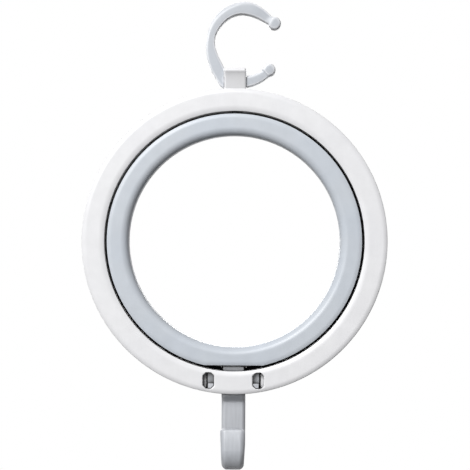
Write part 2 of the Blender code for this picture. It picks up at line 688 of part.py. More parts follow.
def build():
    """Makes every piece in place."""
    clear_scene()
    white = plastic("white_plastic", WHITE, 0.35)
    grey = plastic("grey_plastic", GREY, 0.35)
    ring_centre = empty_at("ring_centre", (-ROD_SIDE, 0, -ROD_HEIGHT))
    clip_axis = empty_at("clip_axis", (-ROD_SIDE, 0, -ROD_RISE))
    finish(rod_clip(clip_axis), grey)
    finish(outer_ring_half("outer_ring_front", -1, ring_centre), white)
    finish(outer_ring_half("outer_ring_rear", 1, ring_centre), white)
    finish(hook(ring_centre), grey)
    finish(inner_ring_half("inner_ring_front", -1, ring_centre), grey)
    finish(inner_ring_half("inner_ring_rear", 1, ring_centre), grey)
    top_tip = BORE_RADIUS + PIN_BEARING_LENGTH
    finish(pivot_pin("top_pivot_pin", INNER_RING_RADIUS, top_tip, 1, ring_centre), grey)
    foot_tip = HEAD_TOP + PIN_BEARING_LENGTH
    finish(pivot_pin("bottom_pivot_pin", FLAT_DROP, foot_tip, -1, ring_centre), grey)


build()
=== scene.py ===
"""Looks of the accessory organiser hook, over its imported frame: ring shells, hook, pins and clip.

Each piece is skinned from numpy grids in the place of the node that it stands for. Metres, +Z up,
the front faces -Y. Ring sizes are measured from the swivel joint and clip sizes from the hinge.
"""

import json
import logging
import math
from dataclasses import dataclass, field, replace
from enum import Enum

import bmesh
import bpy
import numpy as np
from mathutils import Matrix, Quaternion, Vector


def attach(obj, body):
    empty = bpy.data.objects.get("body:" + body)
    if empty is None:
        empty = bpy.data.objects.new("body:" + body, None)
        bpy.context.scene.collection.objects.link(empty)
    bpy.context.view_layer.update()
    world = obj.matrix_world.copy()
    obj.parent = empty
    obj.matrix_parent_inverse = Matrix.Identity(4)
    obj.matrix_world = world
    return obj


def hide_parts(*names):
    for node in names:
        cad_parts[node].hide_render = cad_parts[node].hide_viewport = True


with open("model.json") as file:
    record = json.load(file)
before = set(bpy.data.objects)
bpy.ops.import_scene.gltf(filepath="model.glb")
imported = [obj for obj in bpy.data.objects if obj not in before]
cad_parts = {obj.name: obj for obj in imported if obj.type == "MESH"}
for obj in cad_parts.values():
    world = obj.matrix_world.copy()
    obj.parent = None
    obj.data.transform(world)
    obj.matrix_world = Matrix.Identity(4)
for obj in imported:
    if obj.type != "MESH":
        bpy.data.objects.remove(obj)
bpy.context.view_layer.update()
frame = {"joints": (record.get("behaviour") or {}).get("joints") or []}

log = logging.getLogger("organiser_hook")

Pair = tuple[float, float]
Triple = tuple[float, float, float]
Colour = tuple[float, float, float]
Box = tuple[Vector, Vector]

SMALLEST = 1e-12  # keeps a length or its square from being 0
EDGE_BREAK = 0.0002  # rounding of the small edges
EDGE_STEPS = 3  # stretches in that rounding
CREASE_DEGREES = 32.0  # an edge that is steeper than this stays sharp
AREA_WEIGHT = 80  # how much a large face counts for its corners' normals
FORWARDS = -0.9  # a face whose normal has a Y below this looks forwards
PLAIN_WHITE = (1, 1, 1, 1)
PALE_GREY = (0.8, 0.8, 0.8, 1)


class Side(Enum):
    """Which half of a ring a shell is, and the sign of its Y."""

    FRONT = -1
    REAR = 1


class Hand(Enum):
    """Left or right of the upright axis, as seen from the front, and the sign of X."""

    LEFT = -1
    RIGHT = 1


class Operation(Enum):
    """How one solid acts on another."""

    JOIN = "UNION"
    CUT = "DIFFERENCE"


class Slot(Enum):
    """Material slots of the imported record."""

    WHITE = "white_plastic"
    GREY = "grey_plastic"
    CLIP = "clip_plastic"


# Shapes as numpy arrays


@dataclass(frozen=True)
class Body:
    """A closed skin: vertices as an (n, 3) array and faces as lists of vertex numbers."""

    vertices: np.ndarray
    faces: list[list[int]]

    def moved(self, offset: np.ndarray) -> "Body":
        """The same skin, shifted by an offset."""
        return Body(self.vertices + np.asarray(offset, float), self.faces)


def arc(centre: Pair, reach: Pair, start: float, end: float, steps: int) -> np.ndarray:
    """Points of an upright ellipse: centre + (a cos t, b sin t) for t from start to end.

    Args:
        centre: Middle of the ellipse.
        reach: Its half axes a and b.
        start: First angle in degrees.
        end: Last angle in degrees.
        steps: Number of stretches between points.

    Returns:
        An array of steps + 1 points.
    """
    turn = np.radians(np.linspace(start, end, steps + 1))
    return np.column_stack((centre[0] + reach[0] * np.cos(turn), centre[1] + reach[1] * np.sin(turn)))


def circle(radius: float, facets: int, centre: Pair = (0.0, 0.0)) -> np.ndarray:
    """Corners of a regular outline, centre + r (cos t, sin t), with t in equal steps."""
    return arc(centre, (radius, radius), 0, 360, facets)[:-1]


def skin(rings: np.ndarray, wrap: bool) -> Body:
    """Quads between neighbouring outlines of an array (outline, point, xyz).

    Args:
        rings: The outlines, each with the same number of points.
        wrap: Whether the last outline joins the first; otherwise both ends get a flat cap.

    Returns:
        The closed skin.
    """
    rows, points = rings.shape[:2]
    i = np.arange(rows if wrap else rows - 1)[:, None]
    j = np.arange(points)[None, :]
    here, there, after = i * points, (i + 1) % rows * points, (j + 1) % points
    faces = np.stack((here + j, here + after, there + after, there + j), axis=-1).reshape(-1, 4).tolist()
    if not wrap:
        faces.append(list(range(points))[::-1])
        faces.append(list(range((rows - 1) * points, rows * points)))
    return Body(rings.reshape(-1, 3), faces)


def stacked(outlines: np.ndarray, levels: np.ndarray, axis: str) -> Body:
    """Skins flat outlines, each at its own level along x, y or z; an outline holds the other two axes."""
    rings = [np.insert(outline, "xyz".index(axis), level, axis=1) for outline, level in zip(outlines, levels)]
    return skin(np.array(rings), wrap=False)


def inset(outline: np.ndarray, amount: float) -> np.ndarray:
    """Shrinks a flat outline by moving every edge inwards by the same amount.

    Each corner moves along the sum of its two edge normals, n1 + n2, by amount / (1 + n1 . n2).

    Args:
        outline: Corners in order, either way round.
        amount: Distance that the edges move in.

    Returns:
        The moved corners.
    """
    edge = np.roll(outline, -1, axis=0) - outline
    edge /= np.maximum(np.linalg.norm(edge, axis=1), SMALLEST)[:, None]
    area = np.sum(outline[:, 0] * np.roll(outline[:, 1], -1) - np.roll(outline[:, 0], -1) * outline[:, 1])
    normal = np.column_stack((-edge[:, 1], edge[:, 0])) * np.sign(area)
    before = np.roll(normal, 1, axis=0)
    share = 1 + np.sum(normal * before, axis=1)
    return outline + (normal + before) / share[:, None] * amount


def softened(outline: np.ndarray, radius: float, steps: int) -> np.ndarray:
    """Rounds every corner of a flat outline.

    Each corner becomes a quadratic curve (1-t)^2 a + 2t(1-t) c + t^2 b between points a and b that
    lie a radius away from the corner c along its two edges.

    Args:
        outline: Corners in order.
        radius: Length that the rounding takes off each edge.
        steps: Stretches in each rounded corner.

    Returns:
        The rounded outline.
    """
    back = np.roll(outline, 1, axis=0) - outline
    ahead = np.roll(outline, -1, axis=0) - outline
    a = outline + back / np.linalg.norm(back, axis=1)[:, None] * radius
    b = outline + ahead / np.linalg.norm(ahead, axis=1)[:, None] * radius
    t = np.linspace(0, 1, steps + 1)[None, :, None]
    curve = (1 - t) ** 2 * a[:, None] + 2 * t * (1 - t) * outline[:, None] + t ** 2 * b[:, None]
    return curve.reshape(-1, 2)


def oblong(half: float, low: float, high: float) -> np.ndarray:
    """Corners of a flat oblong, half wide to each side, from low to high."""
    return np.array([(-half, low), (half, low), (half, high), (-half, high)])


def round_angles(count: int) -> np.ndarray:
    """Equal steps round a circle from 0, in radians."""
    return np.linspace(0, 2 * np.pi, count, endpoint=False)


def carried_round(radius: np.ndarray, depth: np.ndarray, angles: np.ndarray) -> Body:
    """Carries a section round the Y axis: (r sin t, depth, r cos t).

    Args:
        radius: Radii of the section's points, one row for each angle.
        depth: Depth of each point.
        angles: Angles from the top, in radians.

    Returns:
        The skin.
    """
    rings = np.stack((radius * np.sin(angles)[:, None], np.broadcast_to(depth, radius.shape),
                      radius * np.cos(angles)[:, None]), axis=-1)
    return skin(rings, wrap=True)


def plate(outline: np.ndarray, low: float, high: float, axis: str, edge: float = 0.0) -> Body:
    """A slab of a flat outline from low to high, its two rims rounded with a quarter circle.

    Args:
        outline: Corners in the two axes other than axis.
        low: Level of the lower face.
        high: Level of the upper face.
        axis: Direction of the slab's thickness, x, y or z.
        edge: Radius of the rim rounding, or 0 for a plain rim.

    Returns:
        The slab's skin.
    """
    if not edge:
        return stacked(np.array([outline, outline]), np.array((low, high)), axis)
    turn = np.radians(np.linspace(0, 90, EDGE_STEPS + 1))
    shrink, rise = edge * (1 - np.sin(turn)), edge * (1 - np.cos(turn))
    outlines = [inset(outline, amount) for amount in np.concatenate((shrink, shrink[::-1]))]
    return stacked(np.array(outlines), np.concatenate((low + rise, high - rise[::-1])), axis)


def turned(outline: np.ndarray, facets: int, axis: str) -> Body:
    """Turns an outline of (radius, height) rows about an axis: (r cos t, r sin t) at each height."""
    rings = outline[:, 0][:, None, None] * circle(1.0, facets)[None]
    return stacked(rings, outline[:, 1], axis)


def smooth_between(table: np.ndarray, places: np.ndarray) -> np.ndarray:
    """Reads a table at given places on the cubic through its rows.

    Between two rows the value is h00 v0 + h10 w m0 + h01 v1 + h11 w m1, the Hermite cubic with the
    rows' own central slopes m and the stretch's width w.

    Args:
        table: Rows whose first column is where they stand, rising.
        places: Where values are wanted.

    Returns:
        One row of values for each place.
    """
    at, values = table[:, 0], table[:, 1:]
    slope = np.gradient(values, at, axis=0)
    i = np.clip(np.searchsorted(at, places) - 1, 0, len(at) - 2)
    width = (at[i + 1] - at[i])[:, None]
    t = (places - at[i])[:, None] / width
    return ((2 * t ** 3 - 3 * t ** 2 + 1) * values[i] + (t ** 3 - 2 * t ** 2 + t) * width * slope[i]
            + (3 * t ** 2 - 2 * t ** 3) * values[i + 1] + (t ** 3 - t ** 2) * width * slope[i + 1])


def oval_sections(half_a: np.ndarray, half_b: np.ndarray, fullness: np.ndarray, points: int) -> np.ndarray:
    """Soft oblongs (a sgn(c)|c|^f, b sgn(s)|s|^f) with c, s the cosine and sine round the section.

    Args:
        half_a: Half width of each section.
        half_b: Half depth of each section.
        fullness: The exponent f of each on its near and far sides, 1 for an ellipse, less for a box.
        points: Points in a section.

    Returns:
        An array (section, point, 2).
    """
    turn = 2 * np.pi * (np.arange(points) + 0.5) / points
    c, s = np.cos(turn)[None], np.sin(turn)[None]
    power = np.where(c < 0, fullness[:, :1], fullness[:, 1:])
    return np.stack((half_a[:, None] * np.sign(c) * np.abs(c) ** power,
                     half_b[:, None] * np.sign(s) * np.abs(s) ** power), axis=-1)


def eased(rows: np.ndarray, middle: int, reach: int, passes: int) -> np.ndarray:
    """Blends a joint in a table: each pass sets v[i] to (v[i-1] + 2 v[i] + v[i+1]) / 4 near it.

    Args:
        rows: The table.
        middle: Row at which the joint is.
        reach: Rows that are blended on each side of it.
        passes: Number of passes.

    Returns:
        The blended table.
    """
    rows = rows.copy()
    low, high = max(middle - reach, 1), min(middle + reach, len(rows) - 1)
    for _ in range(passes):
        rows[low:high] = (rows[low - 1:high - 1] + 2 * rows[low:high] + rows[low + 1:high + 1]) / 4
    return rows


def columned(*columns: object) -> np.ndarray:
    """Rows of the given columns, of which some are one number for all rows."""
    return np.column_stack(np.broadcast_arrays(*columns))


def readings(items: bpy.types.bpy_prop_collection, key: str, width: int, kind: type = float) -> np.ndarray:
    """Reads one property of all items of a mesh.

    Args:
        items: The mesh's vertices, edges or faces.
        key: The property.
        width: Numbers in it.
        kind: Their type.

    Returns:
        One row for each item.
    """
    values = np.zeros(len(items) * width, kind)
    items.foreach_get(key, values)
    return values.reshape(-1, width)


def placed(name: str, data: bpy.types.ID) -> bpy.types.Object:
    """Makes an object of some data and links it to the scene.

    Args:
        name: The object's name.
        data: Its mesh, light or camera.

    Returns:
        The object.
    """
    made = bpy.data.objects.new(name, data)
    bpy.context.scene.collection.objects.link(made)
    return made


class Piece:
    """A mesh object in the making: joined, cut, dressed and hung on its CAD body."""

    def __init__(self, name: str, bodies: list[Body], place: Vector) -> None:
        """Makes the object from skins that are measured from a place."""
        self.place = place
        self.object = self._mesh_object(name, bodies)

    def _mesh_object(self, name: str, bodies: list[Body]) -> bpy.types.Object:
        """Puts skins into one mesh, with their faces turned outwards.

        Args:
            name: Name of the object and mesh.
            bodies: The skins.

        Returns:
            The linked object, at the origin.
        """
        vertices, faces, count = [], [], 0
        for body in bodies:
            vertices.append(body.vertices + np.array(self.place))
            faces += [[index + count for index in face] for face in body.faces]
            count += len(body.vertices)
        mesh = bpy.data.meshes.new(name)
        mesh.from_pydata(np.concatenate(vertices), [], faces)
        work = bmesh.new()
        work.from_mesh(mesh)
        bmesh.ops.recalc_face_normals(work, faces=work.faces)
        work.to_mesh(mesh)
        work.free()
        return placed(name, mesh)

    def combine(self, operation: Operation, bodies: list[Body]) -> "Piece":
        """Joins or cuts skins that don't touch one another, in one exact Boolean whose result is kept.

        Args:
            operation: Whether the skins are joined on or cut away.
            bodies: The skins, measured from the piece's place.

        Returns:
            The piece itself.
        """
        tool = self._mesh_object(self.object.name + "_tool", bodies)
        change = self.object.modifiers.new("combine", "BOOLEAN")
        change.operation, change.solver, change.object = operation.value, "EXACT", tool
        evaluated = self.object.evaluated_get(bpy.context.evaluated_depsgraph_get())
        result = bpy.data.meshes.new_from_object(evaluated)
        self.object.modifiers.clear()
        old, self.object.data = self.object.data, result
        name = old.name
        bpy.data.meshes.remove(old)
        result.name = name
        tool_mesh = tool.data
        bpy.data.objects.remove(tool)
        bpy.data.meshes.remove(tool_mesh)
        return self

    def join(self, *bodies: Body) -> "Piece":
        """Joins skins on."""
        return self.combine(Operation.JOIN, list(bodies))

    def cut(self, *bodies: Body) -> "Piece":
        """Cuts skins away."""
        return self.combine(Operation.CUT, list(bodies))

    def _mark_edges(self, gentle: float, sharp: float) -> None:
        """Stores how tightly the surface bends outwards at each vertex, as attribute edge, 0 to 1.

        The bend is the mean over a vertex's edges of -2 (d . n) / |d|^2, where d runs to the next
        vertex and n is the normal: it is one over the radius on a round edge.

        Args:
            gentle: Bend, per metre, at which the mask starts.
            sharp: Bend at which it is full.
        """
        mesh = self.object.data
        place, normal = readings(mesh.vertices, "co", 3), readings(mesh.vertex_normals, "vector", 3)
        ends = readings(mesh.edges, "vertices", 2, np.int64)
        bend, count = np.zeros(len(place)), np.zeros(len(place))
        for start, end in (ends.T, ends.T[::-1]):
            step = place[end] - place[start]
            size = np.maximum(np.sum(step ** 2, axis=1), SMALLEST)
            np.add.at(bend, start, -2 * np.sum(step * normal[start], axis=1) / size)
            np.add.at(count, start, 1)
        self._store("edge", np.clip((bend / np.maximum(count, 1) - gentle) / (sharp - gentle), 0, 1))

    def _store(self, name: str, values: np.ndarray) -> None:
        """Stores a number at each vertex, as an attribute."""
        made = self.object.data.attributes.new(name, "FLOAT", "POINT")
        made.data.foreach_set("value", values.astype(np.float32))

    def dress(self, material: bpy.types.Material, bends: Pair = (260.0, 1500.0)) -> "Piece":
        """Gives the piece its material, smooth shading between creases and even normals on its flats.

        Args:
            material: The finish.
            bends: The two bends, per metre, between which the edge mask rises.

        Returns:
            The piece itself.
        """
        mesh = self.object.data
        mesh.materials.clear()
        mesh.materials.append(material)
        mesh.shade_smooth()
        mesh.set_sharp_from_angle(angle=math.radians(CREASE_DEGREES))
        self._mark_edges(*bends)
        even = self.object.modifiers.new("even_normals", "WEIGHTED_NORMAL")
        even.keep_sharp, even.weight = True, AREA_WEIGHT
        return self

    def mark_shaded_gap(self, near: float, far: float) -> "Piece":
        """Stores attribute gap, 1 at the vertices between two distances from the piece's Y axis, else 0: the material
        paints deeper shade there, down to black.

        Args:
            near: The lesser distance, in metres.
            far: The greater distance.

        Returns:
            The piece itself.
        """
        apart = readings(self.object.data.vertices, "co", 3) - np.array(self.place)
        apart = np.hypot(apart[:, 0], apart[:, 2])
        self._store("gap", (apart > near) & (apart < far))
        return self

    def panel(self, material: bpy.types.Material, low: Vector, high: Vector) -> "Piece":
        """Gives a second material to the faces that look forwards inside a box.

        Args:
            material: The panel's finish.
            low: The box's lowest corner, measured from the piece's place.
            high: Its highest corner.

        Returns:
            The piece itself.
        """
        mesh = self.object.data
        mesh.materials.append(material)
        middle = readings(mesh.polygons, "center", 3) - np.array(self.place)
        inside = np.all((middle > np.array(low)) & (middle < np.array(high)), axis=1)
        chosen = inside & (readings(mesh.polygons, "normal", 3)[:, 1] < FORWARDS)
        mesh.polygons.foreach_set("material_index", chosen.astype(np.int32))
        return self

    def hang(self, node: str, body: str, slot: Slot) -> "Piece":
        """Makes the piece ride on a body in place of a CAD node, and reports it.

        Args:
            node: The CAD node that it stands for.
            body: The CAD body that it moves with.
            slot: The material slot that it takes its finish from.

        Returns:
            slot: The record's material slot for the node; not used.
        """
        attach(self.object, body)
        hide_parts(node)
        log.info("%s: %d faces on %s, for %s", self.object.name, len(self.object.data.polygons), body, node)
        return self


# Finishes


class NodeSheet:
    """A node tree with short calls to add and join its nodes."""

    def __init__(self, tree: bpy.types.NodeTree) -> None:
        """Starts on a tree."""
        self.tree = tree

    def fill(self, node: bpy.types.Node, **inputs: object) -> bpy.types.Node:
        """Fills or links a node's inputs.

        Args:
            node: The node.
            **inputs: Values or output sockets by input name, with _ for a blank, or i0, i1 by place.

        Returns:
            The node itself.
        """
        for name, value in inputs.items():
            placed_input = name[0] == "i" and name[1:].isdigit()
            socket = node.inputs[int(name[1:]) if placed_input else name.replace("_", " ")]
            if isinstance(value, bpy.types.NodeSocket):
                self.tree.links.new(value, socket)
            else:
                socket.default_value = value
        return node

    def add(self, kind: str, settings: dict | None = None, **inputs: object) -> bpy.types.Node:
        """Adds a node, sets its properties and fills or links its inputs.

        Args:
            kind: Blender's node type.
            settings: Properties of the node.
            **inputs: As for fill.

        Returns:
            The node.
        """
        made = self.tree.nodes.new(kind)
        for name, value in (settings or {}).items():
            setattr(made, name, value)
        return self.fill(made, **inputs)

    def group(self, tree: bpy.types.NodeTree, **inputs: object) -> bpy.types.NodeOutputs:
        """The outputs of a node group on given inputs."""
        return self.add("ShaderNodeGroup", {"node_tree": tree}, **inputs).outputs

    def place(self) -> bpy.types.NodeSocket:
        """The place on the object, in metres."""
        return self.add("ShaderNodeTexCoord").outputs["Object"]

    def attribute(self, name: str) -> bpy.types.NodeSocket:
        """A number that the mesh stores at its vertices."""
        return self.add("ShaderNodeAttribute", {"attribute_name": name}).outputs["Fac"]

    def maths(self, operation: str, first: object, second: object, clamp: bool = False) -> bpy.types.NodeSocket:
        """The output of a Math node on two values or sockets."""
        return self.add("ShaderNodeMath", {"operation": operation, "use_clamp": clamp}, i0=first, i1=second).outputs[0]

    def times(self, first: object, second: object, clamp: bool = False) -> bpy.types.NodeSocket:
        """A product."""
        return self.maths("MULTIPLY", first, second, clamp)

    def plus(self, first: object, second: object, clamp: bool = False) -> bpy.types.NodeSocket:
        """A sum."""
        return self.maths("ADD", first, second, clamp)

    def minus(self, first: object, second: object) -> bpy.types.NodeSocket:
        """A difference."""
        return self.maths("SUBTRACT", first, second)

    def spread(self, value: object, band: Pair, onto: Pair = (0.0, 1.0)) -> bpy.types.NodeSocket:
        """A value carried smoothly from one range onto another, held at the ends."""
        return self.add("ShaderNodeMapRange", {"interpolation_type": "SMOOTHSTEP"}, i0=value, i1=band[0], i2=band[1],
                        i3=onto[0], i4=onto[1]).outputs[0]

    def blend(self, share: object, first: object, second: object) -> bpy.types.NodeSocket:
        """Two colours mixed by a share."""
        return self.add("ShaderNodeMix", {"data_type": "RGBA"}, i0=share, i6=first, i7=second).outputs[2]

    def noise(self, vector: object, scale: float, detail: float, roughness: float = 0.5) -> bpy.types.NodeSocket:
        """The value of a noise field."""
        return self.add("ShaderNodeTexNoise", Vector=vector, Scale=scale, Detail=detail, Roughness=roughness).outputs[0]

    def swing(self, vector: object, *field_sizes: float) -> bpy.types.NodeSocket:
        """A noise field about 0."""
        return self.minus(self.noise(vector, *field_sizes), 0.5)


def new_material(name: str) -> tuple[bpy.types.Material, NodeSheet, bpy.types.Node]:
    """Makes a node material.

    Args:
        name: Its name.

    Returns:
        The material, the sheet of its nodes and its shader.
    """
    made = bpy.data.materials.new(name)
    made.use_nodes = True
    return made, NodeSheet(made.node_tree), made.node_tree.nodes["Principled BSDF"]


class GroupSheet(NodeSheet):
    """The sheet of a node group, between its inputs and its outputs."""

    def __init__(self, name: str, inputs: dict[str, object], *outputs: str) -> None:
        """Starts a group.

        Args:
            name: The group's name.
            inputs: Default of each input, a colour as four numbers.
            *outputs: Names of the outputs: the one named Colour is a colour, any other a number.
        """
        super().__init__(bpy.data.node_groups.new(name, "ShaderNodeTree"))
        for label, value in inputs.items():
            self._socket(label, "INPUT", isinstance(value, tuple)).default_value = value
        for label in outputs:
            self._socket(label, "OUTPUT", label == "Colour")
        self.given = self.add("NodeGroupInput").outputs
        self.out = self.add("NodeGroupOutput")

    def _socket(self, label: str, way: str, is_colour: bool) -> bpy.types.NodeTreeInterfaceSocket:
        """Adds an input or output to the group."""
        kind = "NodeSocketColor" if is_colour else "NodeSocketFloat"
        return self.tree.interface.new_socket(name=label, in_out=way, socket_type=kind)

    def close(self, **outputs: bpy.types.NodeSocket) -> bpy.types.NodeTree:
        """Links the outputs, by name with _ for a blank, and gives the group."""
        self.fill(self.out, **outputs)
        return self.tree


@dataclass
class SurfaceEffects:
    """Shader node groups that the plastics share, each built once.

    A noise field is (scale, detail) or (scale, detail, roughness). A band is the range of a field
    over which its mask rises.
    """

    slow_noise: Pair = (34.0, 2.0)
    slow_band: Pair = (0.35, 0.68)
    cloud_noise: Pair = (150.0, 3.0)
    cloud_share: float = 0.25
    streak_stretch: Triple = (900.0, 900.0, 60.0)
    streak_noise: Pair = (1.0, 2.0)
    ripple_noise: Pair = (420.0, 1.0)
    spark_noise: Pair = (5200.0, 2.0)
    rub_turn: Triple = (0.3, 0.9, 0.4)
    rub_stretch: Triple = (2600.0, 2600.0, 70.0)
    rub_noise: Pair = (1.0, 1.0)
    rub_band: Pair = (0.70, 0.78)
    wear_highlight_noise: Pair = (260.0, 3.0)
    wear_highlight_band: Pair = (0.25, 0.7)
    wear_highlight_shares: Pair = (0.55, 1.0)
    speck_noise: Pair = (1900.0, 3.0)
    speck_band: Pair = (0.52, 0.72)
    upward_band: Pair = (0.3, 0.95)
    dust_colour: Colour = (0.62, 0.61, 0.59)
    smudge_noise: Triple = (75.0, 4.0, 0.6)
    edge_smoothing: float = 0.07
    dust_roughening: float = 0.35
    rub_roughening: float = 0.05

    def __post_init__(self) -> None:
        """Builds the groups."""
        self.drift, self.grain, self.wear_highlight = self._drift(), self._grain(), self._wear_highlight()
        self.dust, self.handling = self._dust(), self._handling()

    def _drift(self) -> bpy.types.NodeTree:
        """Slow tone changes of a moulding, with faint flow streaks stretched along its height.

        Returns:
            The group.
        """
        sheet = GroupSheet("moulding_drift", {"Colour": PALE_GREY, "Amount": 0.05, "Cool": (0.7, 0.75, 0.85, 1),
                                              "Streaks": 0.02}, "Colour")
        place, given = sheet.place(), sheet.given
        tint = sheet.times(sheet.spread(sheet.noise(place, *self.slow_noise), self.slow_band), given["Amount"])
        toned = sheet.blend(tint, given["Colour"], given["Cool"])
        stretched = sheet.add("ShaderNodeMapping", Vector=place, Scale=self.streak_stretch).outputs[0]
        streak = sheet.times(sheet.swing(stretched, *self.streak_noise), given["Streaks"])
        mottle = sheet.times(sheet.swing(place, *self.cloud_noise), sheet.times(given["Amount"], self.cloud_share))
        value = sheet.plus(sheet.plus(streak, mottle), 1.0)
        return sheet.close(Colour=sheet.add("ShaderNodeHueSaturation", Value=value, Color=toned).outputs[0])

    def _grain(self) -> bpy.types.NodeTree:
        """The height of a moulded skin: soft ripple of the tool, fine spark grain and hairline rubs.

        Returns:
            The group.
        """
        sheet = GroupSheet("moulded_skin", {"Ripple": 0.5, "Spark": 0.3, "Rubs": 0.2}, "Height", "Rub mask")
        place, given = sheet.place(), sheet.given
        ripple = sheet.times(sheet.noise(place, *self.ripple_noise), given["Ripple"])
        spark = sheet.times(sheet.noise(place, *self.spark_noise), given["Spark"])
        slanting = sheet.add("ShaderNodeMapping", Vector=place, Rotation=self.rub_turn, Scale=self.rub_stretch)
        rub = sheet.spread(sheet.noise(slanting.outputs[0], *self.rub_noise), self.rub_band)
        height = sheet.minus(sheet.plus(ripple, spark), sheet.times(rub, given["Rubs"]))
        return sheet.close(Height=height, Rub_mask=rub)

    def _wear_highlight(self) -> bpy.types.NodeTree:
        """Paler, smoother edges, read from the piece's edge attribute: partly wear, partly a painted highlight on
        rounded edges.

        Returns:
            The group.
        """
        sheet = GroupSheet("polished_edges_and_highlight", {"Colour": PALE_GREY, "Pale": PLAIN_WHITE, "Amount": 0.3},
                           "Colour", "Mask")
        given = sheet.given
        uneven = sheet.spread(sheet.noise(sheet.place(), *self.wear_highlight_noise), self.wear_highlight_band, self.wear_highlight_shares)
        mask = sheet.times(sheet.attribute("edge"), uneven, clamp=True)
        # painted highlight: rounded edges are paled, partly as wear
        pale = sheet.blend(sheet.times(mask, given["Amount"]), given["Colour"], given["Pale"])
        return sheet.close(Colour=pale, Mask=mask)

    def _dust(self) -> bpy.types.NodeTree:
        """A trace of dust on what faces up, in soft specks.

        Returns:
            The group.
        """
        sheet = GroupSheet("settled_dust", {"Colour": PALE_GREY, "Amount": 0.1}, "Colour", "Mask")
        given, coordinates = sheet.given, sheet.add("ShaderNodeTexCoord").outputs
        upward = sheet.add("ShaderNodeSeparateXYZ", Vector=coordinates["Normal"]).outputs[2]
        specks = sheet.spread(sheet.noise(coordinates["Object"], *self.speck_noise), self.speck_band)
        mask = sheet.times(sheet.times(sheet.spread(upward, self.upward_band), specks), given["Amount"])
        return sheet.close(Colour=sheet.blend(mask, given["Colour"], (*self.dust_colour, 1)), Mask=mask)

    def _handling(self) -> bpy.types.NodeTree:
        """Roughness of a handled surface: its own, smudged by fingers and evened at polished edges.

        Returns:
            The group.
        """
        sheet = GroupSheet("handling", {"Roughness": 0.4, "Smudge": 0.08, "Edge": 0.0, "Dust": 0.0, "Rub": 0.0},
                           "Roughness")
        given = sheet.given
        smudged = sheet.plus(given["Roughness"], sheet.times(sheet.swing(sheet.place(), *self.smudge_noise),
                                                             given["Smudge"]))
        evened = sheet.minus(smudged, sheet.times(given["Edge"], self.edge_smoothing))
        dusty = sheet.plus(evened, sheet.times(given["Dust"], self.dust_roughening))
        rubbed = sheet.plus(dusty, sheet.times(given["Rub"], self.rub_roughening), clamp=True)
        return sheet.close(Roughness=rubbed)


@dataclass(frozen=True)
class MouldedPlastic:
    """One plastic: its colour, gloss, grain and traces of use, a painted highlight on its rounded edges and painted
    shade in its crevices and gaps.
    """

    name: str
    colour: Colour
    cool: Colour
    # pale is the colour that rounded edges turn towards: partly wear, partly painted highlight
    pale: Colour
    roughness: float
    specular: float = 0.4
    drift: float = 0.5
    streaks: float = 0.03
    smudge: float = 0.12
    ripple: float = 0.5
    spark: float = 0.25
    rubs: float = 0.15
    grain_height: float = 0.00002
    # share of that paling on rounded edges: partly wear, partly painted highlight
    edge_wear_highlight: float = 0.3
    dust: float = 0.12
    # painted shade: ambient occlusion within the reach darkens the colour towards this near-black across the band, and
    # the last field deepens it on the marked swivel gap
    painted_crevice_shade: Colour = (0.004, 0.004, 0.005)
    painted_shade_reach: float = 0.012
    painted_shade_band: Pair = (0.12, 0.22)
    painted_shade_samples: int = 20
    gap_shade_deepening: float = 0.45

    def material(self, effects: SurfaceEffects) -> bpy.types.Material:
        """Builds the node material.

        Args:
            effects: The shared node groups.

        Returns:
            The material.
        """
        made, sheet, shader = new_material(self.name)
        drift = sheet.group(effects.drift, Colour=(*self.colour, 1), Amount=self.drift, Cool=(*self.cool, 1),
                            Streaks=self.streaks)
        # rounded edges pale towards the pale colour: partly wear, partly painted highlight
        wear_highlight = sheet.group(effects.wear_highlight, Colour=drift["Colour"], Pale=(*self.pale, 1), Amount=self.edge_wear_highlight)
        dust = sheet.group(effects.dust, Colour=wear_highlight["Colour"], Amount=self.dust)
        grain = sheet.group(effects.grain, Ripple=self.ripple, Spark=self.spark, Rubs=self.rubs)
        handling = sheet.group(effects.handling, Roughness=self.roughness, Smudge=self.smudge, Edge=wear_highlight["Mask"],
                               Dust=dust["Mask"], Rub=grain["Rub mask"])
        bump = sheet.add("ShaderNodeBump", Strength=1.0, Distance=self.grain_height, Height=grain["Height"])
        # painted shade: ambient occlusion, lowered further on the marked swivel gap, darkens the base colour towards
        # the crevice colour
        openness = sheet.add("ShaderNodeAmbientOcclusion", {"samples": self.painted_shade_samples},
                             Distance=self.painted_shade_reach)
        gap = sheet.attribute("gap")
        left = sheet.minus(openness.outputs["AO"], sheet.times(gap, self.gap_shade_deepening))
        open_share = sheet.spread(left, self.painted_shade_band)
        # on the marked gap the shaded surface also turns metallic, so its painted near-black shade hides the backdrop's
        # reflection too
        sheet.fill(shader, Base_Color=sheet.blend(open_share, (*self.painted_crevice_shade, 1), dust["Colour"]),
                   Metallic=sheet.times(gap, sheet.minus(1.0, open_share)), Roughness=handling["Roughness"],
                   Normal=bump.outputs["Normal"], Specular_IOR_Level=self.specular)
        return made


# Each plastic's pale colour and edge share paint highlights on its rounded edges, partly as wear; its crevice colour
# and band paint shade in its crevices and gaps.
WHITE_PLASTIC = MouldedPlastic("white_ring_plastic", colour=(0.81, 0.81, 0.825), cool=(0.785, 0.785, 0.81),
                               pale=(1.0, 1.0, 1.0), roughness=0.32, specular=0.4, edge_wear_highlight=0.5)
# the rib faces behind the windows get a wider, softer band of painted shade
POCKET_PLASTIC = replace(WHITE_PLASTIC, name="white_pocket_plastic", edge_wear_highlight=0.2, painted_shade_band=(0.02, 0.34))
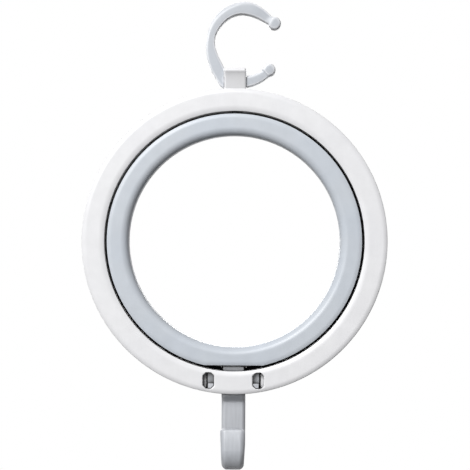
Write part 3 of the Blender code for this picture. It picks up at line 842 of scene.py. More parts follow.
# painted shade: the knuckle's front face is painted a darker grey than the white ring, with a rougher finish
KNUCKLE_SHADE_PLASTIC = MouldedPlastic("knuckle_face_shade_plastic", colour=(0.58, 0.58, 0.59), cool=(0.55, 0.55, 0.57),
                               pale=(1.0, 1.0, 1.0), roughness=0.55, edge_wear_highlight=0.8, spark=0.5,
                               painted_shade_band=(0.15, 0.62))
GREY_PLASTIC = MouldedPlastic("grey_ring_plastic", colour=(0.565, 0.60, 0.645), cool=(0.53, 0.575, 0.64),
                              pale=(0.80, 0.83, 0.87), roughness=0.34, edge_wear_highlight=0.35,
                              painted_shade_band=(0.05, 0.14))
HOOK_PLASTIC = MouldedPlastic("hook_plastic", colour=(0.46, 0.475, 0.505), cool=(0.42, 0.445, 0.485),
                              pale=(0.80, 0.81, 0.84), roughness=0.42, specular=0.9, streaks=0.34,
                              edge_wear_highlight=0.7, painted_shade_band=(0.22, 0.96))
PIN_PLASTIC = MouldedPlastic("pin_plastic", colour=(0.52, 0.53, 0.55), cool=(0.48, 0.50, 0.54),
                             pale=(0.66, 0.67, 0.69), roughness=0.30, spark=0.1)
CLIP_PLASTIC = MouldedPlastic("clip_plastic", colour=(0.505, 0.53, 0.565), cool=(0.475, 0.505, 0.555),
                              pale=(0.88, 0.89, 0.92), roughness=0.34, streaks=0.02, edge_wear_highlight=0.9,
                              painted_crevice_shade=(0.20, 0.21, 0.23), painted_shade_band=(0.04, 0.25))


# The rings


@dataclass(frozen=True)
class RingSizes:
    """Radii, depths and gaps that the two rings and the hook share, from the rings' centre."""

    hole: float = 0.0532
    inner_width: float = 0.0108
    inner_depth: float = 0.0116
    swivel_gap: float = 0.0012
    outer_width: float = 0.0115
    outer_depth: float = 0.012
    wall: float = 0.0015
    seam_gap: float = 0.0003
    running_gap: float = 0.00025
    cavity_corner: float = 0.0005
    rim_cavity: float = 0.001
    head_width: float = 0.0105
    head_rise: float = 0.0023
    head_swing_gap: float = 0.0005
    flat_gap: float = 0.0006
    pin_radius: float = 0.0015
    pin_head_radius: float = 0.003
    pin_head_length: float = 0.002
    bearing_length: float = 0.0042
    pin_seat_width: float = 0.010
    embed: float = 0.0005
    overrun: float = 0.002
    facets: int = 288

    @property
    def inner_reach(self) -> float:
        """Outer radius of the inner ring."""
        return self.hole + self.inner_width

    @property
    def bore(self) -> float:
        """Bore radius of the outer ring."""
        return self.inner_reach + self.swivel_gap

    @property
    def crown(self) -> float:
        """Outer radius of the outer ring."""
        return self.bore + self.outer_width

    @property
    def inner_face(self) -> float:
        """Depth of the inner ring's faces from the seam."""
        return self.inner_depth / 2

    @property
    def outer_face(self) -> float:
        """Depth of the outer ring's faces from the seam."""
        return self.outer_depth / 2

    @property
    def cavity_floor(self) -> float:
        """Depth of the outer ring's cavity."""
        return self.outer_face - self.wall

    @property
    def seam_face(self) -> float:
        """Depth of the seam's two faces."""
        return self.seam_gap / 2

    @property
    def head_top(self) -> float:
        """Distance of the hook's head below the centre."""
        return self.bore - self.head_rise

    @property
    def flat_drop(self) -> float:
        """Distance of the inner ring's straight foot below the centre."""
        return self.head_top - self.flat_gap

    @property
    def head_depth(self) -> float:
        """Half depth of the hook's head and arms, inside the ring's cavity."""
        return self.cavity_floor - self.rim_cavity - self.seam_gap

    @property
    def swing_radius(self) -> float:
        """Radius of the recess that clears the head's corners as the inner ring turns."""
        return math.hypot(self.head_width / 2, self.head_depth) + self.head_swing_gap

    @property
    def pivot_bore(self) -> float:
        """Radius of the bores that the pins turn in."""
        return self.pin_radius + self.running_gap

    def foot_band(self, across: np.ndarray) -> np.ndarray:
        """The outline of what lies in the cavity of the outer ring's foot, a gap clear of both walls.

        Args:
            across: Places along X, in order.

        Returns:
            Rows of (x, z) along the crown's wall, at -sqrt(r^2 - x^2), and back along the bore's.
        """
        inner, outer = self.bore + self.wall + self.seam_gap, self.crown - self.wall - self.seam_gap
        lower = np.column_stack((across, -np.sqrt(outer ** 2 - across ** 2)))
        upper = np.column_stack((across, -np.sqrt(inner ** 2 - across ** 2)))[::-1]
        return np.vstack((lower, upper))


@dataclass(frozen=True)
class ShellSection:
    """Section of a hollow half ring, open at the seam; roundings are (along the radius, in depth).

    An edge with a nose falls off as a shallow slope and ends in a small round of that radius; one
    without is a whole quarter round.
    """

    sizes: RingSizes
    bore_round: Pair
    rim_round: Pair
    cavity_round: Pair
    face: float
    bore_nose: float = 0.0
    rim_nose: float = 0.0
    seam_break: float = 0.0002
    support: float = 0.0004
    round_steps: int = 12
    nose_steps: int = 6
    break_steps: int = 2
    cavity_steps: int = 3

    def fall(self, size: Pair, nose: float) -> np.ndarray:
        """The edge's profile, from the wall at the bore or rim up to the flat face.

        At a distance x from the wall the slope lies d (1 - x / w)^2 below the face, down to a round
        of radius n that is tangent to the wall. A quarter round is (w - w cos t, d - d sin t).

        Args:
            size: Its width w and drop d.
            nose: Radius n of the round at the wall, or 0 for a quarter round.

        Returns:
            Rows of (distance from the wall, drop below the face).
        """
        wide, drop = size
        if not nose:
            return arc((wide, drop), (wide, drop), 180, 270, self.round_steps)
        slope = math.atan(2 * drop / wide)
        reach = np.linspace(nose * (1 - math.sin(slope)), wide, self.round_steps + 1)
        fallen = drop * (1 - reach / wide) ** 2
        middle = (nose, fallen[0] + nose * math.cos(slope))
        tip = arc(middle, (nose, nose), 180, 270 - math.degrees(slope), self.nose_steps)[:-1]
        return np.vstack((tip, np.column_stack((reach, fallen))))

    def outline(self) -> tuple[np.ndarray, np.ndarray]:
        """The skin from the seam over the bore, face and rim to the seam, then back round the cavity.

        Returns:
            Rows of (distance from the bore or rim, depth), and whether each is measured from the rim.
        """
        seam, edge, face, wall = self.sizes.seam_face, self.seam_break, self.face, self.sizes.wall
        at_bore, at_rim = self.fall(self.bore_round, self.bore_nose), self.fall(self.rim_round, self.rim_nose)
        near_bore = np.vstack((
            arc((edge, seam + edge), (edge, edge), 270, 180, self.break_steps),
            at_bore * (1, -1) + (0, face),
            [(self.bore_round[0] + self.support, face)]))
        near_rim = np.vstack((
            [(self.rim_round[0] + self.support, face)],
            at_rim[::-1] * (1, -1) + (0, face),
            arc((edge, seam + edge), (edge, edge), 180, 270, self.break_steps)))
        low, high = self.cavity_round
        floor, steps = face - wall, self.cavity_steps
        rim_cavity = np.vstack(([(wall, seam)], arc((wall + high, floor - high), (-high, high), 0, 90, steps)))
        bore_cavity = np.vstack((arc((wall + low, floor - low), (low, low), 90, 180, steps), [(wall, seam)]))
        parts = (near_bore, near_rim, rim_cavity, bore_cavity)
        on_rim = np.concatenate([np.full(len(part), i in (1, 2)) for i, part in enumerate(parts)])
        return np.vstack(parts), on_rim

    def carried(self, inner: float, reach: np.ndarray, angles: np.ndarray, side: Side) -> Body:
        """Carries the section round the ring's Y axis: (r sin t, side depth, r cos t).

        Args:
            inner: Bore radius.
            reach: Outer radius at each angle.
            angles: Angles from the top, in radians.
            side: Which half it is.

        Returns:
            The shell's skin.
        """
        rows, on_rim = self.outline()
        radius = np.where(on_rim[None], reach[:, None] - rows[:, 0][None], inner + rows[:, 0][None])
        return carried_round(radius, side.value * rows[:, 1], angles)


@dataclass
class RingShell:
    """What both rings' half shells share: locating pegs and the plain boxes behind their walls."""

    sizes: RingSizes
    centre: Vector
    peg_radius: float = 0.0012
    peg_reach: float = 0.0032
    peg_boss: float = 0.0020
    socket_boss: float = 0.0026
    peg_angles: tuple[int, ...] = (35, 90, 145, 215, 270, 325)
    peg_facets: int = 24
    bore_facets: int = 32

    def locate(self, piece: Piece, side: Side, middle: float, floor: float) -> None:
        """Adds the rear half's pegs, or the front half's sockets, round the cavity's middle.

        Args:
            piece: The shell.
            side: Which half it is.
            middle: Radius on which they stand.
            floor: Depth of the cavity.
        """
        turn = np.radians(self.peg_angles)
        places = [(x, 0, z) for x, z in zip(middle * np.sin(turn), middle * np.cos(turn))]
        gap, seam, foot = self.sizes.seam_gap, self.sizes.seam_face, floor + self.sizes.embed

        def turned_at_each(*rows: Pair) -> list[Body]:
            """A turned solid of (radius, depth) rows at every place."""
            return [turned(np.array(rows), self.peg_facets, "y").moved(place) for place in places]

        if side is Side.REAR:
            piece.join(*turned_at_each((self.peg_radius - gap, -self.peg_reach),
                                       (self.peg_radius, -self.peg_reach + gap), (self.peg_radius, seam),
                                       (self.peg_boss, seam), (self.peg_boss, foot)))
            return
        bore_radius = self.peg_radius + gap
        piece.join(*turned_at_each((self.socket_boss, -foot), (self.socket_boss, -seam)))
        piece.cut(*turned_at_each((bore_radius, -self.peg_reach - gap), (bore_radius, self.sizes.overrun)))

    def block(self, half: float, side: Side, near: float, far: float, levels: Pair) -> Body:
        """An upright box on one side of the seam.

        Args:
            half: Half its width.
            side: Which side it is on.
            near: Depth at which it starts.
            far: Depth at which it ends.
            levels: Its two ends along Z, in either order.

        Returns:
            The skin.
        """
        low, high = sorted((side.value * near, side.value * far))
        return plate(oblong(half, low, high), *sorted(levels), "z")

    def pin_bore(self, radius: float, levels: Pair) -> Body:
        """An upright round bore between two levels."""
        return plate(circle(radius, self.bore_facets), *sorted(levels), "z")


@dataclass
class InnerRing(RingShell):
    """The swivelling ring: two half shells that hold both pins, cut straight or recessed at the foot."""

    thrust_boss: float = 0.0023
    thrust_share: float = 0.5
    thrust_steps: int = 24
    swing_facets: int = 96
    lowest_fall: float = 0.5

    def reach(self, angles: np.ndarray, side: Side) -> np.ndarray:
        """Outer radius at each angle: the circle's, or drop / -cos t along the front's flat foot.

        Args:
            angles: Angles from the top, in radians.
            side: Which half it is.

        Returns:
            The radii.
        """
        if side is Side.REAR:
            return np.full(len(angles), self.sizes.inner_reach)
        fall = -np.cos(angles)
        flat = self.sizes.flat_drop / np.maximum(fall, self.lowest_fall)
        return np.where(fall * self.sizes.inner_reach > self.sizes.flat_drop, flat, self.sizes.inner_reach)

    def angles(self) -> np.ndarray:
        """Even steps round the ring, with the two corners of the flat foot among them.

        Returns:
            The angles from the top, in radians, rising.
        """
        corner = math.acos(self.sizes.flat_drop / self.sizes.inner_reach)
        return np.sort(np.concatenate((round_angles(self.sizes.facets), (np.pi - corner, np.pi + corner))))

    def seat(self, piece: Piece, side: Side, wall_face: float, up: int) -> None:
        """The block behind the outer wall that holds a pin's head, with the thrust boss at the top.

        Args:
            piece: The shell.
            side: Which half it is.
            wall_face: Distance of the wall's outer face from the centre.
            up: 1 at the top and -1 at the foot.
        """
        s = self.sizes
        pocket = s.pin_head_length + 2 * s.seam_gap
        under = wall_face - s.wall
        piece.join(self.block(s.pin_seat_width / 2, side, s.seam_face, s.inner_face - s.wall + s.embed,
                              (up * (under - pocket - s.wall), up * (under + s.embed))))
        if up > 0:
            half_disc = arc((0, 0), (self.thrust_boss, self.thrust_boss), 0, 180, self.thrust_steps)
            half_disc[:, 1] = side.value * np.maximum(half_disc[:, 1], s.seam_face)
            top = s.inner_reach + self.thrust_share * s.swivel_gap
            piece.join(plate(half_disc, wall_face - s.embed, top, "z"))
        piece.cut(self.pin_bore(s.pin_head_radius + s.seam_gap, (up * (under - pocket), up * under)))
        piece.cut(self.pin_bore(s.pin_radius + s.seam_gap, (up * (under - s.embed), up * (wall_face + s.overrun))))

    def recess(self, piece: Piece) -> None:
        """The rear half's floored round recess, in which the hook's head stands as the ring turns.

        Args:
            piece: The shell.
        """
        s = self.sizes
        piece.join(self.block(s.swing_radius + s.wall, Side.REAR, s.seam_face, s.inner_face - s.wall + s.embed,
                              (-s.flat_drop - s.embed, -s.flat_drop + s.wall)))
        piece.cut(plate(circle(s.swing_radius, self.swing_facets), -s.inner_reach - s.overrun, -s.flat_drop, "z"))

    def half(self, name: str, side: Side) -> Piece:
        """One half shell, with its half of both pin seats.

        Args:
            name: The piece's name.
            side: Which half it is.

        Returns:
            The piece.
        """
        s = self.sizes
        section = ShellSection(s, bore_round=(0.004, 0.004), rim_round=(0.0023, 0.0006), rim_nose=0.0004,
                               cavity_round=(0.0025, s.cavity_corner), face=s.inner_face, round_steps=16)
        angles = self.angles()
        piece = Piece(name, [section.carried(s.hole, self.reach(angles, side), angles, side)], self.centre)
        if side is Side.REAR:
            self.recess(piece)
        self.locate(piece, side, (s.hole + s.inner_reach) / 2, s.inner_face - s.wall)
        self.seat(piece, side, s.inner_reach, 1)
        self.seat(piece, side, s.flat_drop, -1)
        return piece


@dataclass
class OuterRing(RingShell):
    """The fixed ring: two half shells with the clip's knuckle on top and the hook's seat at the foot."""

    hinge: Vector = field(default_factory=Vector)
    knuckle_width: float = 0.011
    knuckle_height: float = 0.0105
    knuckle_depth: float = 0.0104
    knuckle_round: float = 0.0025
    knuckle_side_round: float = 0.0011
    bead_round: float = 0.0013
    face_sink: float = 0.0006
    sink_reach: float = 0.0016
    face_flare: float = 0.0011
    journal_radius: float = 0.0026
    window_place: float = 0.01245
    window_width: float = 0.0057
    window_corner: float = 0.0016
    window_lip: float = 0.0006
    window_margin: float = 0.0002
    head_slot_gap: float = 0.0015
    shank_width: float = 0.0120
    shank_root: float = 0.0064
    arm_reach: float = 0.01293
    arm_end_gap: float = 0.0007
    arm_recess: float = 0.0030
    pocket_rib: float = 0.0021
    rib_ahead: float = 0.0014
    shutter_reach: float = 0.0061
    shutter_depth: Pair = (0.0003, 0.0022)
    shutter_top: float = 0.0631
    curb_reach: float = 0.0644
    curb_near: float = 0.0035
    curb_far: float = 0.0046
    curb_points: int = 19
    rib_points: int = 5
    journal_facets: int = 48
    bead_start: float = -40.0
    bead_steps: int = 16
    cheek_points: int = 7
    knuckle_steps: int = 12
    lip_angle: float = 80.0
    lip_points: int = 9
    face_steps: int = 18
    face_spacing: float = 1.6
    window_soft: tuple[float, int] = (0.0004, 4)
    window_clear: float = 0.0001
    shank_corner: tuple[float, int] = (0.0012, 6)
    face_box_depth: Pair = (0.001, 0.0015)
    face_box_drop: float = 1.64
    pocket_box_depth: float = 0.0004
    pocket_box_margin: float = 0.001

    def bead(self, deep: float, top: float, root: float) -> np.ndarray:
        """The front outline from the root up a hollow face that eases out under a bead.

        At a distance d below the bead's lower end the face lies s (1 - exp(-d / l)) behind it, less
        f (d / D)^2, where D is the distance of the root. The bead is a circle's arc from 40 degrees
        below level to straight up.

        Args:
            deep: Depth of the bead's foremost point.
            top: Height of the bead.
            root: Height at which the face starts.

        Returns:
            Rows of (depth, height).
        """
        r = self.bead_round
        bead = arc((deep - r, top - r), (r, r), self.bead_start, 90, self.bead_steps)
        share = np.linspace(1, 0, self.face_steps)[:-1] ** self.face_spacing
        below = (bead[0, 1] - root) * share
        face = bead[0, 0] - self.face_sink * (1 - np.exp(-below / self.sink_reach)) + self.face_flare * share ** 2
        return np.vstack((np.column_stack((face, bead[0, 1] - below)), bead))

    def knuckle(self, side: Side) -> Body:
        """Half of the knuckle: an outline rounded at its top edge, drawn in at both cheeks.

        Towards a cheek the outline's front and top draw in by r (1 - sin t) as x nears the cheek by
        r (1 - cos t), a quarter round of radius r.

        Args:
            side: Which half it is.

        Returns:
            The skin.
        """
        s, rim = self.sizes, self.knuckle_side_round
        turn = np.radians(np.linspace(0, 90, self.cheek_points))
        shrink = np.concatenate((rim * (1 - np.sin(turn)), (rim * (1 - np.sin(turn)))[::-1]))
        half = self.knuckle_width / 2
        offset = rim * (1 - np.cos(turn))
        across = np.concatenate((-half + offset, half - offset[::-1]))
        root, outlines = s.crown - s.wall + s.embed, []
        for amount in shrink:
            deep, top = self.knuckle_depth / 2 - amount, s.crown + self.knuckle_height - amount
            if side is Side.FRONT:
                curve = self.bead(deep, top, root)
            else:
                bend = self.knuckle_round - amount
                corner = arc((deep - bend, top - bend), (bend, bend), 0, 90, self.knuckle_steps)
                curve = np.vstack(([(deep, root)], corner))
            outline = np.vstack(([(s.seam_face, root)], curve, [(s.seam_face, top)]))
            outline[:, 0] *= side.value
            outlines.append(outline)
        return stacked(np.array(outlines), across, "x")

    @property
    def window_foot(self) -> float:
        """Height of the windows' lower edge above the centre, which is negative."""
        return -math.sqrt((self.sizes.crown - self.sizes.wall - self.window_margin) ** 2 - self.window_place ** 2)

    def window(self, hand: Hand) -> Body:
        """The cutter of one window: cut corners, and a lip that rounds into the face.

        The outline grows by r (1 - cos t) at depth r (1 - sin t) below the face, for t up to 80
        degrees, and leaves the face along that last slope.

        Args:
            hand: Which window it is.

        Returns:
            The skin.
        """
        s, foot = self.sizes, self.window_foot
        top = -math.sqrt((s.bore + s.wall + self.window_margin) ** 2 - self.window_place ** 2)
        half, cut, clear = self.window_width / 2, self.window_corner, self.window_clear
        outline = np.array([(-half + cut, foot), (half - cut, foot), (half, foot + cut), (half, top - cut),
                            (half - cut, top), (-half + cut, top), (-half, top - cut), (-half, foot + cut)])
        outline = softened(outline, *self.window_soft) + (hand.value * self.window_place, 0)
        turn = np.radians(np.linspace(0, self.lip_angle, self.lip_points))
        grow = self.window_lip * (1 - np.cos(turn))
        depth = -s.outer_face + self.window_lip * (1 - np.sin(turn))
        slope = (grow[-1] - grow[-2]) / (depth[-1] - depth[-2])
        grow = np.concatenate(((0,), grow, (grow[-1] - slope * clear,)))
        depth = np.concatenate(((-s.cavity_floor + s.overrun,), depth, (depth[-1] - clear,)))
        return stacked(np.array([inset(outline, -amount) for amount in grow]), depth, "y")

    def rib(self, hand: Hand) -> Body:
        """A pocket rib behind a window: a short stretch of the foot just beyond the hook's arm.

        It stands a little past the seam, as the stop for the arm's end that the window shows.

        Args:
            hand: The window that it stands behind.

        Returns:
            The skin.
        """
        s = self.sizes
        near = self.arm_reach + self.arm_end_gap
        outline = s.foot_band(np.linspace(near, near + self.pocket_rib, self.rib_points))
        outline[:, 0] *= hand.value
        return plate(outline, -self.rib_ahead, s.cavity_floor + s.embed, "y", edge=EDGE_BREAK)

    def curb(self) -> Body:
        """The low lip round the rear half's bore, which keeps light from showing through the swivel gap.

        Its crest follows the sphere that the inner ring sweeps, at sqrt(R^2 - y^2) from the ring's axis,
        and falls off to the bore at both ends by the factor sqrt(1 - |2u - 1|^6) across its width.

        Returns:
            The skin.
        """
        s = self.sizes
        share = (1 - np.cos(np.linspace(0, np.pi, self.curb_points))) / 2
        depth = self.curb_near + (self.curb_far - self.curb_near) * share
        height = (s.bore - np.sqrt(self.curb_reach ** 2 - depth ** 2)) * np.sqrt(1 - np.abs(2 * share - 1) ** 6)
        foot = np.array([(s.bore + s.wall, self.curb_far), (s.bore + s.embed, self.curb_near)])
        section = np.vstack((np.column_stack((s.bore - height, depth)), foot))
        angles = round_angles(s.facets)
        return carried_round(np.tile(section[:, 0], (len(angles), 1)), section[:, 1], angles)

    def shutter(self, hand: Hand) -> Body:
        """A low stop beside the hook's head, rooted in the rear half's bore, that keeps light out like the curb.

        It stays inside the circle about the pivot that the inner ring's recess leaves free.

        Args:
            hand: The side of the head that it stands on.

        Returns:
            The block.
        """
        s = self.sizes
        near, far = s.head_width / 2 - s.seam_gap, s.head_width / 2 + self.head_slot_gap + s.embed
        foot, ledge = -s.bore - s.wall / 2, -s.bore + s.seam_gap
        outline = np.array([(near, foot), (far, foot), (far, ledge), (self.shutter_reach, ledge),
                            (self.shutter_reach, -self.shutter_top), (near, -self.shutter_top)])
        outline[:, 0] *= hand.value
        return plate(outline, *self.shutter_depth, "y")

    def passages(self, piece: Piece) -> None:
        """Cuts the slot that the hook's head rises through and the hole that its shank leaves by.

        Args:
            piece: The shell.
        """
        s = self.sizes
        slot = oblong(s.head_width / 2 + self.head_slot_gap, -s.cavity_floor, s.cavity_floor)
        deep = self.shank_root / 2 + s.seam_gap
        hole = softened(oblong(self.shank_width / 2 + s.seam_gap, -deep, deep), *self.shank_corner)
        piece.cut(plate(slot, -s.bore - s.wall - s.embed, -s.bore + s.overrun, "z"),
                  plate(hole, -s.crown - s.overrun, -s.crown + s.wall + s.embed, "z"))

    def face_box(self) -> Box:
        """The box round the knuckle's front face.

        Returns:
            Its lowest and highest corners, from the rings' centre.
        """
        half, deep, (ahead, behind) = self.knuckle_width / 2, self.knuckle_depth / 2, self.face_box_depth
        top = self.sizes.crown + self.knuckle_height - self.face_box_drop * self.bead_round
        return Vector((-half, -deep - ahead, self.sizes.crown)), Vector((half, -deep + behind, top))

    def pocket_box(self) -> Box:
        """The box round the ribs' front faces.

        Returns:
            Its lowest and highest corners, from the rings' centre.
        """
        s, deep = self.sizes, self.pocket_box_depth
        far = self.arm_reach + self.arm_end_gap + self.pocket_rib + self.pocket_box_margin
        return Vector((-far, -self.rib_ahead - deep, -s.crown)), Vector((far, -self.rib_ahead + deep, -s.bore))

    def half(self, name: str, side: Side) -> Piece:
        """One half shell, with its half of the top bearing and the knuckle.

        Args:
            name: The piece's name.
            side: Which half it is.

        Returns:
            The piece.
        """
        s = self.sizes
        section = ShellSection(s, bore_round=(0.0030, 0.00075), bore_nose=0.0005, rim_nose=0.0008,
                               rim_round=(0.0026, 0.00085), cavity_round=(s.cavity_corner, s.rim_cavity),
                               face=s.outer_face)
        angles = round_angles(s.facets)
        piece = Piece(name, [section.carried(s.bore, np.full(len(angles), s.crown), angles, side)], self.centre)
        self.locate(piece, side, (s.bore + s.crown) / 2, s.cavity_floor)
        end = s.bore + s.bearing_length + s.seam_gap
        piece.join(self.block(s.pin_seat_width / 2, side, s.seam_face, s.cavity_floor + s.embed,
                              (s.bore + s.wall - s.embed, end + s.wall)))
        piece.join(self.knuckle(side))
        reach = self.knuckle_width / 2 + s.overrun
        journal = circle(self.journal_radius + s.running_gap, self.journal_facets, (0, self.hinge.z - self.centre.z))
        piece.cut(plate(journal, -reach, reach, "x"))
        piece.cut(self.pin_bore(s.pivot_bore, (s.bore - s.overrun, end)))
        self.passages(piece)
        if side is Side.FRONT:
            return piece.cut(*[self.window(hand) for hand in Hand])
        piece.join(*[self.rib(hand) for hand in Hand]).join(self.curb())
        for hand in Hand:
            piece.join(self.shutter(hand))
        return piece


@dataclass
class PivotPins:
    """The two headed pins that the inner ring turns on."""

    sizes: RingSizes
    centre: Vector
    edge: float = 0.0003
    fillet: float = 0.0002
    shaft_per_nose: float = 3.0
    edge_steps: int = 4
    nose_steps: int = 8
    facets: int = 48

    def pin(self, name: str, wall_face: float, tip: float, up: int) -> Piece:
        """One pin: a turned head, a filleted neck and a shaft with a rounded tip.

        Args:
            name: The piece's name.
            wall_face: Distance of the wall that holds it from the centre.
            tip: Distance of its tip.
            up: 1 at the top and -1 at the foot.

        Returns:
            The piece.
        """
        s, edge, fillet, steps = self.sizes, self.edge, self.fillet, self.edge_steps
        head, shaft = s.pin_head_radius, s.pin_radius
        under = wall_face - s.wall - s.seam_gap
        foot = under - s.pin_head_length
        nose = shaft / self.shaft_per_nose
        outline = np.vstack((
            arc((head - edge, foot + edge), (edge, edge), -90, 0, steps),
            arc((head - edge, under - edge), (edge, edge), 0, 90, steps),
            arc((shaft + fillet, under + fillet), (fillet, fillet), 270, 180, steps),
            arc((shaft - nose, tip - nose), (nose, nose), 0, 90, self.nose_steps)))
        outline[:, 1] *= up
        return Piece(name, [turned(outline, self.facets, "z")], self.centre)


# The J hook


@dataclass
class JHook:
    """The hook: its bar, the head block with the pivot bore, and two latch arms with noses."""

    sizes: RingSizes
    centre: Vector
    ring: OuterRing
    shank_thickness: float = 0.0050
    set_back_drop: float = 0.0049
    bend_radius: float = 0.0110
    hook_drop: float = 0.0373
    bend_width: float = 0.0110
    lip_rise: float = 0.0088
    lip_width: float = 0.0123
    lip_thickness: float = 0.0036
    lip_lean: float = 0.0008
    inner_round: float = 0.0019
    outer_round: float = 0.0023
    corner_power: float = 1.25
    collar_radius: float = 0.0031
    collar_share: float = 0.75
    collar_facets: int = 48
    head_corner: tuple[float, int] = (0.0005, 4)
    arm_points: int = 49
    tip_round: float = 0.0015
    tip_side_round: float = 0.0022
    nose_height: float = 0.0023
    nose_corner: float = 0.0014
    nose_recess: float = 0.0010
    nose_slope: float = 0.0005
    nose_bevel: float = 0.3
    fullest_round: float = 0.95
    root_points: int = 6
    set_back_points: int = 41
    shank_points: int = 30
    bend_points: int = 57
    lip_points: int = 21
    tip_points: int = 9
    corner_steps: int = 12

    def path(self) -> tuple[np.ndarray, int]:
        """Rows of (y, z, width, thickness) down the S, round the bend and up the lip.

        The S eases back by (1 - cos(pi s)) / 2 of the set-back, the bend is a half circle, and the lip
        leans in with the square of its rise. The width is least at the bend's foot and grows with
        the height above it, to the shank's behind and to the lip's in front.

        Returns:
            The rows, and the number of those before the bend.
        """
        s, wide, thick = self.sizes, self.ring.shank_width, self.shank_thickness
        back = s.outer_face - thick / 2
        leave = -s.crown
        down = np.linspace(-(s.bore + s.crown) / 2, leave, self.root_points)
        upper = columned(0.0, down, wide, self.ring.shank_root)
        share = np.linspace(0, 1, self.set_back_points)[1:]
        ease = (1 - np.cos(np.pi * share)) / 2
        bent = columned(back * ease, leave - self.set_back_drop * share, wide,
                        self.ring.shank_root + (thick - self.ring.shank_root) * ease)
        middle = self.bend_radius - thick / 2
        height = leave - self.hook_drop + self.bend_radius
        down = np.linspace(leave - self.set_back_drop, height, self.shank_points)[1:-1]
        shank = columned(back, down, wide, thick)
        turn = np.pi * np.linspace(0, 1, self.bend_points)
        climb = 1 - np.sin(turn)
        widening = (self.lip_width - self.bend_width) / (middle + self.lip_rise)
        broad = self.bend_width + np.where(turn < np.pi / 2, wide - self.bend_width, widening * middle) * climb
        bend = columned(back - middle + middle * np.cos(turn), height - middle * np.sin(turn), broad, thick)
        share = np.linspace(0, 1, self.lip_points)[1:]
        lip = columned(back - 2 * middle + self.lip_lean * share ** 2, height + self.lip_rise * share,
                       self.bend_width + widening * (middle + self.lip_rise * share),
                       thick + (self.lip_thickness - thick) * share)
        return np.vstack((upper, bent, shank, bend, lip)), len(upper) + len(bent) + len(shank)

    def bar(self) -> Body:
        """The bar: a rounded flat section at right angles to the path, closed by a rounded tip.

        Each section's corners are (cos^p t, sin^p t), nearly bevels, wider on the outside of the J. At the tip the
        section moves ahead by r sin t and its half thickness and half width shrink by r (1 - cos t),
        with a larger r across the width.

        Returns:
            The skin.
        """
        path, before_bend = self.path()
        heading = np.gradient(path[:, :2], axis=0)
        heading[:before_bend + 1] = (0, -1)
        heading /= np.linalg.norm(heading, axis=1)[:, None]
        turn = np.radians(np.linspace(0, 90, self.tip_points))[1:]
        tip = np.repeat(path[-1:], len(turn), axis=0)
        tip[:, :2] += heading[-1] * self.tip_round * np.sin(turn)[:, None]
        closing = np.concatenate((np.zeros(len(path)), 1 - np.cos(turn)))
        path = np.vstack((path, tip))
        heading = np.vstack((heading, np.repeat(heading[-1:], len(turn), axis=0)))
        a, b = path[:, 2] / 2 - self.tip_side_round * closing, path[:, 3] / 2 - self.tip_round * closing
        sections = []
        for sign_a, sign_b, start in ((1, 1, 0), (-1, 1, 90), (-1, -1, 180), (1, -1, 270)):
            wide = self.outer_round if sign_b > 0 else self.inner_round
            room = np.minimum(wide, self.fullest_round * b)
            corner = arc((0, 0), (1, 1), start, start + 90, self.corner_steps)
            corner = np.sign(corner) * np.abs(corner) ** self.corner_power
            sections.append(np.stack((sign_a * (a - wide)[:, None] + wide * corner[:, 0],
                                      sign_b * (b - room)[:, None] + room[:, None] * corner[:, 1]), axis=-1))
        section = np.concatenate(sections, axis=1)
        rings = np.stack((section[..., 0],
                          path[:, 0][:, None] - section[..., 1] * heading[:, 1][:, None],
                          path[:, 1][:, None] + section[..., 1] * heading[:, 0][:, None]), axis=-1)
        return skin(rings, wrap=False)

    def arms(self) -> Body:
        """The curved band of both latch arms, in the cavity of the ring's foot.

        Returns:
            The skin.
        """
        s = self.sizes
        across = np.linspace(-self.ring.arm_reach, self.ring.arm_reach, self.arm_points)
        front = -s.outer_face + self.ring.arm_recess
        return plate(s.foot_band(across), front, s.head_depth, "y", edge=EDGE_BREAK)

    def nose(self, hand: Hand) -> Body:
        """A latch nose that stands out of an arm into its window, with a cut corner and a sloped top.

        Args:
            hand: The arm that it stands on.

        Returns:
            The skin.
        """
        s, ring = self.sizes, self.ring
        inner = ring.window_place - ring.window_width / 2 + s.seam_gap
        low, outer, cut = ring.window_foot + s.seam_gap, ring.arm_reach - s.seam_gap, self.nose_corner
        outline = np.array([(outer, low), (inner + cut, low), (inner, low + cut), (inner, low + self.nose_height),
                            (outer, low + self.nose_height)])
        outline[:, 0] *= hand.value
        front, bevel = -s.outer_face + self.nose_recess, self.nose_bevel
        outlines, levels = [], []
        for depth, amount in ((-s.outer_face + ring.arm_recess + s.embed, 0.0), (front + EDGE_BREAK, 0.0),
                              (front + EDGE_BREAK * bevel, EDGE_BREAK * bevel), (front, EDGE_BREAK)):
            raised = inset(outline, amount)
            raised[3:, 1] += self.nose_slope * (depth - front) / (ring.arm_recess + s.embed - self.nose_recess)
            outlines.append(raised)
            levels.append(depth)
        return stacked(np.array(outlines), np.array(levels), "y")

    def build(self, name: str) -> Piece:
        """Joins the bar, head with its collar, arms and noses, and bores the head for its pin.

        Args:
            name: The piece's name.

        Returns:
            The piece.
        """
        s = self.sizes
        outline = softened(oblong(s.head_width / 2, -s.head_depth, s.head_depth), *self.head_corner)
        head = plate(outline, -s.crown + s.wall + s.seam_gap + s.embed, -s.head_top, "z", edge=EDGE_BREAK)
        bore = self.ring.pin_bore(s.pivot_bore, (-s.head_top - s.bearing_length - s.seam_gap,
                                                 -s.head_top + s.overrun))
        collar = plate(circle(self.collar_radius, self.collar_facets), -s.head_top - s.embed,
                       -s.head_top + self.collar_share * s.flat_gap, "z")
        piece = Piece(name, [self.bar()], self.centre)
        return piece.join(head).join(collar).join(self.arms()).join(*[self.nose(hand) for hand in Hand]).cut(bore)


# The rod clip


